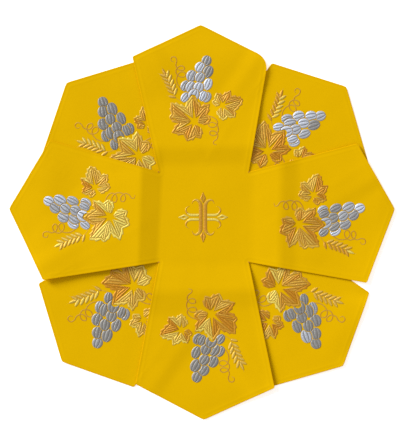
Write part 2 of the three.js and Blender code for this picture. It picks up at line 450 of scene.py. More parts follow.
@dataclass
class CrossCloth:
    """One cross-shaped cloth: its cut, its grid, its relief and its mesh.

    Attributes:
        name, node: The piece's name, and the CAD node that it stands for.
        shift, origin: The middle of the cross in the upper cross's frame, and in the scene's.
        flat: Width and length of the cut in metres, measured from tip to tip; not used.
        columns, rows: The grid's shares across and outwards.
        rim: The rim's section from the top down, by outset and share of the thickness.
        edge: The relief of its edge.
        own_lift, heights: How far its folds lift each point, and where its underside lies.
    """

    name: str
    node: str
    flaps: tuple[Flap, ...]
    shift: Pair
    flat: Pair
    columns: Array
    rows: Array
    half_square: float = 65.5
    thickness: float = 1.2
    rim: tuple[Pair, ...] = ((-0.32, 1.0), (-0.07, 0.8), (0.0, 0.5), (-0.07, 0.2), (-0.32, 0.0))
    edge: PressedEdge = field(default_factory=PressedEdge)
    plan: Array = field(init=False)
    own_lift: Array = field(init=False)
    quads: Array = field(init=False)
    origin: Array = field(init=False)
    heights: Array = field(init=False)

    def __post_init__(self) -> None:
        """Lays out the grid."""
        self.origin = np.array(self.shift)
        self.lay_grid()

    def outline(self) -> Array:
        """The cut's outline, in the upper cross's frame.

        Returns:
            Its corners, anticlockwise.
        """
        half = self.half_square
        corners = []
        for flap in self.flaps:
            corners += [flap.placed(*flap.right), flap.placed(*flap.tip), flap.placed(*flap.left)]
            corners.append(flap.placed(half, half))
        return np.array(corners) + self.shift

    def lay_grid(self) -> None:
        """Makes the plan's points, each made once, its quads and the flaps' own lift."""
        place: dict[tuple[int, int], int] = {}
        plan: list[Array] = []
        lifts: list[float] = []
        quads: list[list[int]] = []

        def add(grid: Array, lift: Array) -> None:
            """Adds one grid of points by row and column."""
            keys = np.round(grid / SAME_POINT).astype(int)
            index = np.zeros(grid.shape[:2], int)
            for row, column in np.ndindex(index.shape):
                key = (int(keys[row, column, 0]), int(keys[row, column, 1]))
                if key not in place:
                    place[key] = len(plan)
                    plan.append(grid[row, column])
                    lifts.append(lift[row, column])
                index[row, column] = place[key]
            a, b, c, d = index[:-1, :-1], index[:-1, 1:], index[1:, 1:], index[1:, :-1]
            quads.extend(np.stack([a, b, c, d], axis=-1).reshape(-1, 4).tolist())

        spans = self.half_square * (2 * self.columns - 1)
        square = turned(np.stack(np.meshgrid(spans, spans), axis=-1).reshape(-1, 2), self.flaps[0].turn)
        square = square.reshape(len(spans), len(spans), 2)
        patches = [FlapPatch(flap, self.half_square) for flap in self.flaps]
        add(square, sum(patch.folded(square, beside=True) for patch in patches))
        for patch in patches:
            grid = patch.points(self.columns, self.rows)
            lift = patch.lift(grid, self.rows, [other for other in patches if other is not patch])
            add(grid[:, ::-1], lift[:, ::-1])
        self.plan = np.array(plan)
        self.own_lift = np.array(lifts)
        self.quads = self.upward(np.array(quads))

    def upward(self, quads: Array) -> Array:
        """Turns each quad so that it faces up.

        Args:
            quads: Corner indices, one quad a row.

        Returns:
            The same quads, those that faced down reversed.
        """
        a, b, d = self.plan[quads[:, 0]], self.plan[quads[:, 1]], self.plan[quads[:, 3]]
        first, second = b - a, d - a
        down = first[:, 0] * second[:, 1] - first[:, 1] * second[:, 0] < 0
        quads[down] = quads[down][:, ::-1]
        return quads

    def rim_loop(self) -> Array:
        """Follows the rim.

        Returns:
            Its plan indices, anticlockwise.
        """
        starts = self.quads.ravel()
        ends = np.roll(self.quads, -1, axis=1).ravel()
        paired = set(zip(ends.tolist(), starts.tolist(), strict=True))
        onward = {a: b for a, b in zip(starts.tolist(), ends.tolist(), strict=True) if (a, b) not in paired}
        loop = [next(iter(onward))]
        while onward[loop[-1]] != loop[0]:
            loop.append(onward[loop[-1]])
        return np.array(loop)

    def build(self) -> Object:
        """Makes the closed cloth.

        Returns:
            The cloth's object.
        """
        loop = self.rim_loop()
        here = self.plan + self.origin
        ring = here[loop]
        ahead = np.roll(ring, -1, axis=0) - np.roll(ring, 1, axis=0)
        outward = np.stack([ahead[:, 1], -ahead[:, 0]], axis=1)
        outward /= np.linalg.norm(outward, axis=1, keepdims=True)
        top = np.column_stack([here, self.heights + self.thickness])
        under = np.column_stack([here, self.heights])
        rings = []
        for outset, rise in self.rim:
            level = self.heights[loop] + rise * self.thickness
            rings.append(np.column_stack([ring + outset * outward, level]))
        top[loop], under[loop] = rings[0], rings[-1]
        count, size = len(here), len(loop)
        points = np.vstack([top, under, *rings[1:-1]])
        ring_index = [loop, *(2 * count + size * step + np.arange(size) for step in range(len(self.rim) - 2))]
        ring_index.append(loop + count)
        walls = []
        for above, below in zip(ring_index, ring_index[1:], strict=False):
            walls.append(np.stack([above, below, np.roll(below, -1), np.roll(above, -1)], axis=1))
        faces = np.vstack([self.quads, self.quads[:, ::-1] + count, *walls])
        mesh = mesh_of(self.name, points, faces.tolist())
        self.lay_maps(mesh, points, len(self.quads), size)
        inset = -distance_outside(self.outline() + self.origin - self.shift, points[:, :2])
        add_values(mesh, "Inset", inset)
        local = turned(points[:, :2] - self.origin, -self.flaps[0].turn)
        add_values(mesh, "Plan", np.column_stack([local, np.zeros(len(local))]))
        return shown(self.name, mesh)

    def lay_maps(self, mesh: Mesh, points: Array, tops: int, size: int) -> None:
        """Lays the face, the underside and the rim side by side on the bake map.

        Args:
            mesh: The cloth's mesh.
            points: Its points in millimetres.
            tops: How many faces the topside has.
            size: How many points the rim has.
        """
        pixel = 1 / CLOTH_MAP
        face_share, under_share, margin = 0.715, 0.26, 4 * pixel
        low = points[:, :2].min(axis=0)
        span = (points[:, :2].max(axis=0) - low).max()
        flat = (points[:, :2] - low) / span
        corners = np.zeros(len(mesh.loops), int)
        mesh.loops.foreach_get("vertex_index", corners)
        spots = np.zeros((len(corners), 2))
        face_loops = tops * 4
        spots[:face_loops] = margin + face_share * flat[corners[:face_loops]]
        under = slice(face_loops, 2 * face_loops)
        spots[under] = np.array([face_share + 2 * margin, margin]) + under_share * flat[corners[under]]
        bands, per_row, step = len(self.rim) - 1, 320, 3 * pixel
        band, place = np.divmod(np.arange(bands * size), size)
        line, column = np.divmod(place, per_row)
        left, right = margin + column * step, margin + (column + 1) * step
        top = face_share + 3 * margin + (line * (bands + 2) + band) * step
        rim = np.stack([left, top, left, top + step, right, top + step, right, top], axis=1)
        spots[2 * face_loops :] = rim.reshape(-1, 2)
        layer = mesh.uv_layers.new(name=BAKE_MAP)
        layer.uv.foreach_set("vector", spots.astype(np.float32).ravel())


def shown(name: str, data: ID) -> Object:
    """Makes an object in the scene.

    Args:
        name: Its name.
        data: Its mesh, light or camera.

    Returns:
        The object.
    """
    made = bpy.data.objects.new(name, data)
    bpy.context.scene.collection.objects.link(made)
    return made


def mesh_of(name: str, points: Array, faces: list[list[int]]) -> Mesh:
    """Makes a smooth-shaded mesh.

    Args:
        name: Its name.
        points: Its points in millimetres.
        faces: Its faces.

    Returns:
        The mesh, in metres.
    """
    mesh = bpy.data.meshes.new(name)
    mesh.from_pydata((points * MM).tolist(), [], faces)
    mesh.shade_smooth()
    return mesh


def add_values(mesh: Mesh, name: str, values: Array) -> None:
    """Stores one number, or one vector, for each point of a mesh."""
    kind, key = ("FLOAT", "value") if values.ndim == 1 else ("FLOAT_VECTOR", "vector")
    mesh.attributes.new(name, kind, "POINT").data.foreach_set(key, values.astype(np.float32).ravel())


def crowded(gaps: Sequence[float], filling: float, total: float) -> Array:
    """Shares of a length, close together at its far end.

    Args:
        gaps: Distances of the crowded places from the far end.
        filling: The gap between places elsewhere.
        total: The length.

    Returns:
        Rising shares from 0 to 1.
    """
    rest = total - gaps[-1]
    count = max(2, round(rest / filling))
    plain = np.linspace(0, rest, count, endpoint=False)
    return np.concatenate([plain, total - np.array(gaps)[::-1]]) / total


# How far in from an edge the grid's lines lie, fine enough for the rim and the turning.
EDGE_GAPS = (0, 0.7, 1.4, 2.2, 3.1, 4.1, 5.2, 6.2, 7.0, 7.8, 8.6, 9.4, 10.4, 12, 14.5, 18)


@dataclass
class Veil:
    """The two cloths together, with the heights at which each lies on the other.

    Attributes:
        lower_shift: The lower cross's middle in the upper cross's frame.
        sag_start, sag_length: Where beyond the lower cloth the upper one sinks, and over what length.
        lift_onset, edge_clearance: How far from the upper cloth the lower one rises, and from what share.
        fade: How soon the lower cloth's relief fades outside its edge.
        plump, plump_width: How far face and lining bulge apart, and how far in that is full.
        spacing: The gap between columns and between rows away from the edges.
        crease_rows, rows_gap: How many rows crowd near the square, how far out, and the least gap after them.
        broad, fine, puffs: Unevenness of the cloths, and of the bulge.
    """

    gap: float = 0.3
    lower_shift: Pair = (2.2, -11.2)
    sag_start: float = 18.0
    sag_length: float = 24.0
    lift_onset: float = 22.0
    edge_clearance: float = 0.5
    fade: float = 7.0
    plump: float = 0.22
    plump_width: float = 9.0
    half_width: float = 82.5
    flap_length: float = 215.0
    spacing: Pair = (3.6, 3.8)
    crease_rows: tuple[int, float] = (38, 82.0)
    rows_gap: float = 0.008
    broad: Billow = Billow(0.55, 62, 3.7)
    fine: Billow = Billow(0.1, 23, 9.1)
    puffs: Billow = Billow(0.5, 34, 5.3)
    slackness: float = 0.6
    upper: CrossCloth = field(init=False)
    lower: CrossCloth = field(init=False)

    def __post_init__(self) -> None:
        """Cuts both cloths and lays them."""
        half = crowded(EDGE_GAPS, self.spacing[0], self.half_width)
        columns = np.concatenate([(1 - half[::-1]) / 2, (1 + half[1:]) / 2])
        rows = crowded(EDGE_GAPS, self.spacing[1], self.flap_length)
        count, reach = self.crease_rows
        near_square = np.linspace(0, reach, count) / self.flap_length
        beyond = rows[rows > near_square[-1] + self.rows_gap]
        self.upper = CrossCloth(
            name="upper_cloth_satin", node="upper_cloth", flaps=UPPER_FLAPS, shift=(0.0, 0.0),
            flat=(0.558, 0.573), columns=columns, rows=np.concatenate([near_square, beyond]),
        )
        self.lower = CrossCloth(
            name="lower_cloth_satin", node="lower_cloth", flaps=LOWER_FLAPS, shift=self.lower_shift,
            flat=(0.574, 0.575), columns=columns, rows=rows,
        )
        corners = np.vstack([cloth.plan + cloth.shift for cloth in (self.upper, self.lower)])
        middle = (corners.min(axis=0) + corners.max(axis=0)) / 2
        for cloth in (self.upper, self.lower):
            cloth.origin = np.array(cloth.shift) - middle
        self.lay_lower()
        self.lay_upper()

    def slack(self, points: Array) -> Array:
        """Returns how far the cloths lie off the surface at plan points, none below 0."""
        return (self.broad.rise(points) + self.fine.rise(points)) * self.slackness

    def lower_relief(self, points: Array) -> Array:
        """The relief of the lower cloth's topside over its flat underside.

        Args:
            points: Plan points in the upper cross's frame.

        Returns:
            Heights.
        """
        inset = -distance_outside(self.lower.outline(), points)
        inside = self.lower.edge.height(np.maximum(inset, 0))
        return np.where(inset > 0, inside, inside * (1 - smooth(-inset / self.fade)))

    def lay_lower(self) -> None:
        """Lays the lower cloth on the surface; only what shows of it lifts."""
        cloth = self.lower
        points = cloth.plan + cloth.shift
        beside = distance_outside(self.upper.outline(), points)
        free = smooth(beside / self.lift_onset - self.edge_clearance)
        inset = -distance_outside(cloth.outline(), points)
        cloth.heights = self.slack(points) + self.lower_relief(points)
        cloth.heights += free * (cloth.own_lift + self.plump * smooth(inset / self.plump_width))

    def lay_upper(self) -> None:
        """Lays the upper cloth on the lower one, and down between its flaps."""
        cloth = self.upper
        points = cloth.plan + cloth.shift
        beyond = distance_outside(self.lower.outline(), points) - self.sag_start
        rest = (cloth.thickness + self.gap) * (1 - smooth(beyond / self.sag_length))
        inset = -distance_outside(cloth.outline(), points)
        loose = smooth(inset / self.plump_width)
        cloth.heights = rest + cloth.own_lift + self.lower_relief(points) + cloth.edge.height(inset)
        cloth.heights += self.slack(points)
        cloth.heights += loose * self.plump * (1 + self.puffs.height * self.puffs.swing(points))


# Each flap's turn, left shoulder, tip and right shoulder come first.
UPPER_FLAPS = (
    Flap(
        0, (222, 106.4), (276.6, 11.6), (235.7, -95.3), lift_right=0.6, lift_outer=(0.5, 0.6),
        folds=(
            Fold((47, 44), (3.2, 3.0), (42, 40), (24, 24), 3.5),
            Fold((200, 194), (3.4, 2.0), (120, 50), (30, 30), 8),
        ),
    ),
    Flap(
        90, (232.1, 103.4), (278.8, 4.4), (229, -93.8), right_radius=21,
        lift_right=0.7, lift_outer=(0.0, 0.3),
        folds=(
            Fold((34, 36), (2.6, 3.2), (24, 24), (70, 70), 3.5),
            Fold((166, 164), (1.9, 2.3), (66, 60), (42, 42), 8),
        ),
    ),
    Flap(
        180, (232, 91.2), (282.5, -12.2), (222.6, -111.2), lift_left=0.3,
        folds=(
            Fold((28.7, 24.6), (4.8, 5.2), (27, 30), (200, 72), 2.0),
            Fold((165, 160), (3.8, 1.2), (60, 34), (60, 40), 8),
        ),
    ),
    Flap(
        270, (246.8, 102.7), (293.9, 0), (241.8, -98.8), lift_left=0.7,
        lift_right=0.3, lift_outer=(0.6, 0.3),
        folds=(
            Fold((40, 43), (2.6, 3.2), (38, 40), (25, 34), 4.0),
            Fold((186, 180), (2.4, 0.6), (110, 40), (40, 40), 8),
        ),
    ),
)

LOWER_FLAPS = (
    Flap(45, (234, 97.6), (286, -3), (230.2, -104.6), lift_tip=0.8, lift_outer=(0.0, 0.4)),
    Flap(135, (235.7, 103), (287.9, -3.2), (235.4, -101.8), lift_tip=0.5),
    Flap(225, (239.7, 93.4), (287.2, -6.6), (231.2, -110.8), lift_tip=0.6, lift_outer=(0.2, 0.0)),
    Flap(
        315, (237.6, 98.8), (285.8, -3.4), (232.9, -99.5), lift_tip=1.2,
        lift_outer=(0.5, 0.4), folds=(Fold((190, 190), (2.6, 0.0), (48, 48), (30, 30), 8),),
    ),
)


@dataclass
class Ground:
    """Heights of a finished cloth, and the room under one that covers it, on a grid between two corners."""

    cloth: CrossCloth
    cover: CrossCloth | None
    low: Array
    high: Array
    step: float = 1.0
    nudges: tuple[Pair, ...] = ((0.0, 0.0), (0.013, 0.0078), (-0.021, -0.0126))
    sky: float = 100.0
    margin: int = 5
    shape: tuple[int, ...] = field(init=False)
    top: Array = field(init=False)
    room: Array = field(init=False)

    def __post_init__(self) -> None:
        """Measures both cloths over the region."""
        self.shape = tuple(np.ceil((self.high - self.low) / self.step).astype(int) + 1)
        self.top = self.spread(self.measured(self.cloth, self.cloth.thickness, -np.inf))
        self.room = np.full(self.shape, np.inf)
        if self.cover is not None:
            self.room = self.measured(self.cover, 0.0, np.inf) - self.top

    def measured(self, cloth: CrossCloth, above: float, missing: float) -> Array:
        """Heights of one cloth's side over the region.

        Args:
            cloth: The cloth.
            above: How far the side is above the cloth's underside.
            missing: The height where there is no cloth.

        Returns:
            Heights by grid place.
        """
        here = np.column_stack([cloth.plan + cloth.origin, cloth.heights + above])
        tree = BVHTree.FromPolygons(here.tolist(), cloth.quads.tolist())
        found = np.full(self.shape, missing)
        for i, j in np.ndindex(self.shape):
            x, y = self.low + np.array([i, j]) * self.step
            for along, across in self.nudges:
                place = tree.ray_cast((x + along, y + across, self.sky), (0.0, 0.0, -1.0))[0]
                if place is not None:
                    found[i, j] = place.z
                    break
        return found

    def spread(self, found: Array) -> Array:
        """Carries the heights at the cloth's edge outwards, as a level for stitches that reach over it.

        Args:
            found: Heights by grid place, endlessly low where there is no cloth.

        Returns:
            Heights everywhere.
        """
        for _ in range(self.margin):
            sides = [np.roll(found, shift, axis=axis) for axis in (0, 1) for shift in (-1, 1)]
            found = np.where(np.isfinite(found), found, np.max(sides, axis=0))
        return np.where(np.isfinite(found), found, 0.0)

    def look(self, grid: Array, points: Array) -> Array:
        """Reads a grid between its places.

        Args:
            grid: self.top or self.room.
            points: Plan points.

        Returns:
            One value for each point.
        """
        spot = np.clip((points - self.low) / self.step, 0, np.array(self.shape) - 1 - TINY)
        cell = spot.astype(int)
        part = spot - cell
        i, j = cell[:, 0], cell[:, 1]
        wide, tall = part[:, 0], part[:, 1]
        near = grid[i, j] * (1 - wide) + grid[i + 1, j] * wide
        far = grid[i, j + 1] * (1 - wide) + grid[i + 1, j + 1] * wide
        return near * (1 - tall) + far * tall


@dataclass
class Column:
    """One column of satin stitch, laid to and fro between two rails.

    Attributes:
        tone, play: The painted sheen of its threads, from 0 to 1, and how much their direction to the light
            changes that.
        pitch: The width of one stitch's thread.
        slant: How far on the right end of a stitch lies.
        padding: Height of the padding at the two rails, at the middle of the column's length.
        paired: Whether each point of one rail faces the same point of the other.
    """

    left: Array
    right: Array
    height: float = 0.6
    tone: float = 0.5
    play: float = 0.1
    pitch: float = 0.5
    slant: float = 0.0
    padding: Pair = (0.0, 0.0)
    cells: int = 4
    paired: bool = False
    checks: int = 12

    def rows(self) -> tuple[Array, Array, Array]:
        """Both ends of each half stitch.

        Returns:
            The left ends, the right ends, and the share of the column's length at each.
        """
        ruler = (self.left + self.right) / 2 if self.paired else None
        places = np.linspace(0, 1, self.checks)
        middle = (along_line(self.left, places, ruler) + along_line(self.right, places, ruler)) / 2
        length = np.linalg.norm(np.diff(middle, axis=0), axis=1).sum()
        stitches = max(2, round(length / self.pitch))
        shares = np.linspace(0, 1, 2 * stitches + 1)
        lead = self.slant / max(length, TINY) / 2
        starts = along_line(self.left, np.clip(shares - lead, 0, 1), ruler)
        ends = along_line(self.right, np.clip(shares + lead, 0, 1), ruler)
        return starts, ends, shares


@dataclass(frozen=True)
class Oval:
    """An oval in the plan: a grape, or what hides the stitches under it, with clear space round it."""

    middle: Pair
    half_long: float
    half_wide: float
    lean: float
    clear: float = 0.45

    def covers(self, points: Array) -> Array:
        """Tells which points the oval covers.

        Args:
            points: Plan points, in any array ending in an axis of two.

        Returns:
            True where a point is covered.
        """
        local = turned((points - np.array(self.middle)).reshape(-1, 2), -self.lean)
        reach = local / (np.array([self.half_long, self.half_wide]) + self.clear)
        return ((reach**2).sum(axis=1) < 1).reshape(points.shape[:-1])


STITCH_PLACES = np.linspace(0, 1, 21)
SHORTEST_STITCH = 0.45
FEWEST_ROWS = 4


def clipped(column: Column, ovals: Sequence[Oval]) -> Iterator[tuple[Array, Array, Array]]:
    """Cuts a column's stitches back from what lies over them.

    Args:
        column: The column.
        ovals: What lies over it.

    Yields:
        Left ends, right ends and shares of each part that is left, each part from gap to gap.
    """
    starts, ends, shares = column.rows()
    if ovals:
        spots = starts[:, None] + STITCH_PLACES[None, :, None] * (ends - starts)[:, None]
        free = np.ones(spots.shape[:2], bool)
        for oval in ovals:
            free &= ~oval.covers(spots)
        first, last = np.zeros(len(starts)), np.zeros(len(starts))
        for row, open_places in enumerate(free):
            bounded = np.concatenate([[0], open_places.astype(int), [0]])
            runs = np.flatnonzero(np.diff(bounded)).reshape(-1, 2)
            if len(runs):
                begin, end = runs[np.argmax(runs[:, 1] - runs[:, 0])]
                first[row], last[row] = STITCH_PLACES[begin], STITCH_PLACES[end - 1]
        across = ends - starts
        starts, ends = starts + first[:, None] * across, starts + last[:, None] * across
    kept = np.linalg.norm(ends - starts, axis=1) > SHORTEST_STITCH
    row = 0
    while row < len(kept):
        if not kept[row]:
            row += 1
            continue
        stop = row
        while stop + 1 < len(kept) and kept[stop + 1]:
            stop += 1
        begin, end = row + row % 2, stop - stop % 2
        if end - begin >= FEWEST_ROWS:
            part = slice(begin, end + 1)
            yield starts[part], ends[part], shares[part]
        row = stop + 1


# A column's section by its cells: shares across, and the share of its height at each.
SECTIONS = {
    4: ((0.0, 0.18, 0.5, 0.82, 1.0), (0.0, 0.68, 1.0, 0.68, 0.0)),
    2: ((0.0, 0.5, 1.0), (0.0, 1.0, 0.0)),
}


@dataclass
class StitchMesh:
    """Gathers columns of stitches into one mesh of closed, ribbed forms.

    Attributes:
        sunk, rib: How deep the feet go into the cloth, and the valleys between threads.
        least, clearance: The least height of a thread, and the air between it and a cloth over it.
        full_width, rounding: The width from which a column has its full height, and how soon it falls.
        height_noise, sheen_noise: How unevenly the threads stand, and how unevenly their painted sheen falls.
        light_turn, upright: The light's direction, and how far across it stitches begin to get a painted
            sheen.
        large, half_rows: From which length a piece has the larger bake map, and its pixels for half a thread.
        cell_pixels: The least pixels for a cell there, and the most for each pixel of half a thread.
        rows, rails: The valley that each point is in, or -1, and its rail: 1 left, 2 right, 0 neither.
    """

    name: str
    ground: Ground
    seed: int
    sunk: float = 0.14
    rib: float = 0.1
    least: float = 0.05
    clearance: float = 0.04
    full_width: float = 2.0
    rounding: float = 0.6
    height_noise: float = 0.08
    sheen_noise: float = 0.05
    light_turn: float = 8.0
    upright: Pair = (0.15, 0.8)
    # The share of the lit colour kept in the valleys between threads; the rest is painted shade.
    valley: float = 0.75
    large: float = 114.0
    half_rows: tuple[float, ...] = (3.2, 2.8, 2.4, 2.1, 1.8, 1.55, 1.3, 1.1, 0.9)
    cell_pixels: Pair = (1.7, 3.4)
    strip_gap: float = 2.0
    chance: np.random.Generator = field(init=False)
    points: list[Array] = field(default_factory=list)
    faces: list[list[int]] = field(default_factory=list)
    topside: list[bool] = field(default_factory=list)
    painted_sheens: list[Array] = field(default_factory=list)
    lit_shares: list[Array] = field(default_factory=list)
    rows: list[Array] = field(default_factory=list)
    rails: list[Array] = field(default_factory=list)
    patches: list[tuple[int, int, float, float]] = field(default_factory=list)
    count: int = 0
    row_count: int = 0
    threads: int = 0

    def __post_init__(self) -> None:
        """Starts the draws."""
        self.chance = np.random.default_rng(self.seed)

    def add(self, column: Column, covers: Sequence[Oval], placing: "Placing") -> None:
        """Adds a column, without what is covered.

        Args:
            column: The column in the motif's own frame.
            covers: Ovals that lie over it, in the same frame.
            placing: Where the motif is.
        """
        for starts, ends, shares in clipped(column, covers):
            left, right = placing.put(starts), placing.put(ends)
            if placing.mirrored:
                left, right = right, left
            pads = column.padding[::-1] if placing.mirrored else column.padding
            self.add_part(left, right, shares, column, pads)

    def add_part(self, left: Array, right: Array, shares: Array, column: Column, pads: Pair) -> None:
        """Adds one unbroken part of a column.

        Args:
            left: Left ends of the half stitches, in the frame.
            right: Right ends.
            shares: Their shares of the column's length.
            column: The column that they belong to.
            pads: Padding under the left and the right ends.
        """
        cells = column.cells
        rows = len(left)
        ahead = left[-1] + right[-1] - left[0] - right[0]
        across = (right - left).sum(axis=0)
        if ahead[0] * across[1] - ahead[1] * across[0] > 0:
            left, right = right, left
            pads = pads[::-1]
        places, profile = np.array(SECTIONS[cells])
        spots = left[:, None] + places[None, :, None] * (right - left)[:, None]
        wide = np.linalg.norm(right - left, axis=1)
        swell = column.height * np.minimum(1.0, wide / self.full_width) ** self.rounding
        ridge = np.arange(rows) % 2 == 1
        bump = np.where(ridge, swell, np.maximum(swell - self.rib, self.least))
        bump[[0, -1]] = 0.0
        jitter = 1 + self.height_noise * self.chance.standard_normal(rows)
        rise = bump[:, None] * profile[None] * jitter[:, None] - self.sunk * (profile == 0)[None]
        rise[[0, -1]] = -self.sunk
        hump = np.sin(np.pi * np.clip(shares, 0, 1)) ** self.rounding
        pad = hump[:, None] * between(pads, places)[None]
        pad[[0, -1]] = 0.0
        flat = spots.reshape(-1, 2)
        rise = (rise + pad).reshape(-1)
        room = self.ground.look(self.ground.room, flat)
        rise = np.minimum(rise, np.maximum(room - self.clearance, self.least))
        level = self.ground.look(self.ground.top, flat) + rise
        self.points.append(np.column_stack([flat, level]))
        self.stitch_faces(rows, cells)
        self.dress_part(left, right, ridge, profile, column)
        self.patches.append((rows, cells, float(np.mean(wide)), column.pitch))

    def stitch_faces(self, rows: int, cells: int) -> None:
        """Adds the ribbed top of a part, and the flat underside that closes it.

        Args:
            rows: Half stitches and one more.
            cells: Cells across.
        """
        size = cells + 1
        index = self.count + np.arange(rows * size).reshape(rows, size)
        a, b, c, d = index[:-1, :-1], index[:-1, 1:], index[1:, 1:], index[1:, :-1]
        self.faces.extend(np.stack([a, b, c, d], axis=-1).reshape(-1, 4).tolist())
        start, end = index[0].tolist(), index[-1].tolist()
        after, before = index[1], index[-2]
        self.faces.append([start[0], int(after[0]), int(after[-1]), *start[:0:-1]])
        for row in range(1, rows - 2):
            below = index[row]
            onward = index[row + 1]
            self.faces.append([int(below[0]), int(onward[0]), int(onward[-1]), int(below[-1])])
        self.faces.append([int(before[0]), *end, int(before[-1])])
        self.topside += [True] * (rows - 1) * cells + [False] * (rows - 1)
        self.count += rows * size

    def dress_part(self, left: Array, right: Array, ridge: Array, profile: Array, column: Column) -> None:
        """Stores each thread's painted sheen and painted hollow shade, and which edges are sharp.

        Args:
            left: Left ends of the half stitches.
            right: Right ends.
            ridge: True for the middle of each thread.
            profile: Heights across, from 0 to 1.
            column: The column that they belong to.
        """
        rows, size = len(left), len(profile)
        # Painted sheen: stitches that lie across the light's direction are painted paler, as their highlight.
        across = turned(right - left, -self.light_turn)
        upright = np.abs(across[:, 1]) / np.maximum(np.linalg.norm(across, axis=1), TINY)
        low, width = self.upright
        tone = column.tone + column.play * (2 * smooth((upright - low) / width) - 1)
        tone += self.sheen_noise * np.repeat(self.chance.standard_normal(rows // 2 + 1), 2)[:rows]
        # Painted shade: the lit share falls from each thread's ridge to its rails, and less of it is kept in
        # the valleys.
        lit_share = np.where(ridge, 1.0, self.valley)[:, None] * profile[None]
        self.painted_sheens.append(np.repeat(tone, size))
        self.lit_shares.append(lit_share.reshape(-1))
        row = np.where(ridge, -1, self.row_count + np.arange(rows))
        self.rows.append(np.repeat(row, size))
        rail = np.zeros((rows, size), int)
        rail[:, 0], rail[:, -1] = 1, 2
        self.rails.append(rail.reshape(-1))
        self.row_count += rows
        self.threads += rows // 2

    def build(self) -> Object:
        """Makes the piece.

        Returns:
            Its object.
        """
        mesh = mesh_of(self.name, np.vstack(self.points), self.faces)
        row, rail = np.concatenate(self.rows), np.concatenate(self.rails)
        ends = np.zeros(2 * len(mesh.edges), int)
        mesh.edges.foreach_get("vertices", ends)
        first, second = ends.reshape(-1, 2).T
        valley = (row[first] == row[second]) & (row[first] >= 0)
        border = (rail[first] == rail[second]) & (rail[first] > 0)
        sharp = mesh.attributes.new("sharp_edge", "BOOLEAN", "EDGE")
        sharp.data.foreach_set("value", valley | border)
        add_values(mesh, "PaintedSheen", np.clip(np.concatenate(self.painted_sheens), 0, 1))
        add_values(mesh, "Depth", np.concatenate(self.lit_shares))
        self.lay_maps(mesh)
        LOG.info("%s: %d threads, %d faces", self.name, self.threads, len(mesh.polygons))
        return shown(self.name, mesh)

    def lay_maps(self, mesh: Mesh) -> None:
        """Gives each part its own strip on the bake map, topside and underside beside each other.

        Args:
            mesh: The piece's mesh.
        """
        reach = float(np.ptp(np.vstack(self.points), axis=0).max())
        side = LARGE_MAP if reach > self.large else SMALL_MAP
        for half_row in self.half_rows:
            spots = self.shelved(side, half_row)
            if spots is not None:
                break
        corners = np.concatenate(self.faces)
        upper = np.repeat(self.topside, [len(face) for face in self.faces])
        chosen = np.where(upper[:, None], spots[0][corners], spots[1][corners])
        layer = mesh.uv_layers.new(name=BAKE_MAP)
        layer.uv.foreach_set("vector", (chosen / side).astype(np.float32).ravel())

    def shelved(self, side: int, half_row: float) -> tuple[Array, Array] | None:
        """Sets the parts on shelves.

        Args:
            side: The map's width in pixels.
            half_row: Pixels for half a thread.

        Returns:
            Each point's spot on the topside and on the underside, in pixels, or None if the map is too small.
        """
        gap = self.strip_gap
        tops, unders = [], []
        x, y, shelf = gap, gap, 0.0
        for rows, cells, wide, pitch in self.patches:
            least, most = self.cell_pixels
            tall = min(max(wide * half_row / (pitch / 2), least * cells), most * half_row * cells)
            length = (rows - 1) * half_row
            if x + length > side - gap:
                x, y, shelf = gap, y + shelf + gap, 0.0
            shelf = max(shelf, tall + gap)
            if x + length > side - gap or y + shelf > side - gap:
                return None
            onward = np.repeat(x + half_row * np.arange(rows), cells + 1)
            down = np.tile(np.linspace(0, 1, cells + 1), rows)
            tops.append(np.column_stack([onward, y + tall * down]))
            unders.append(np.column_stack([onward, y + tall + gap * down]))
            x += length + gap
        return np.vstack(tops), np.vstack(unders)


@dataclass(frozen=True)
class Placing:
    """Where a motif is: its origin and direction, whether it is mirrored, and its size."""

    origin: Pair
    turn: float
    mirrored: bool = False
    size: float = 1.0

    def put(self, points: Array) -> Array:
        """Returns the places of points given along and to the left of the motif's direction."""
        local = points * np.array([1.0, -1.0]) if self.mirrored else points
        return turned(local * self.size, self.turn) + np.array(self.origin)


# Half the width at which two rails that meet in a point are kept apart.
HAIR = 0.05


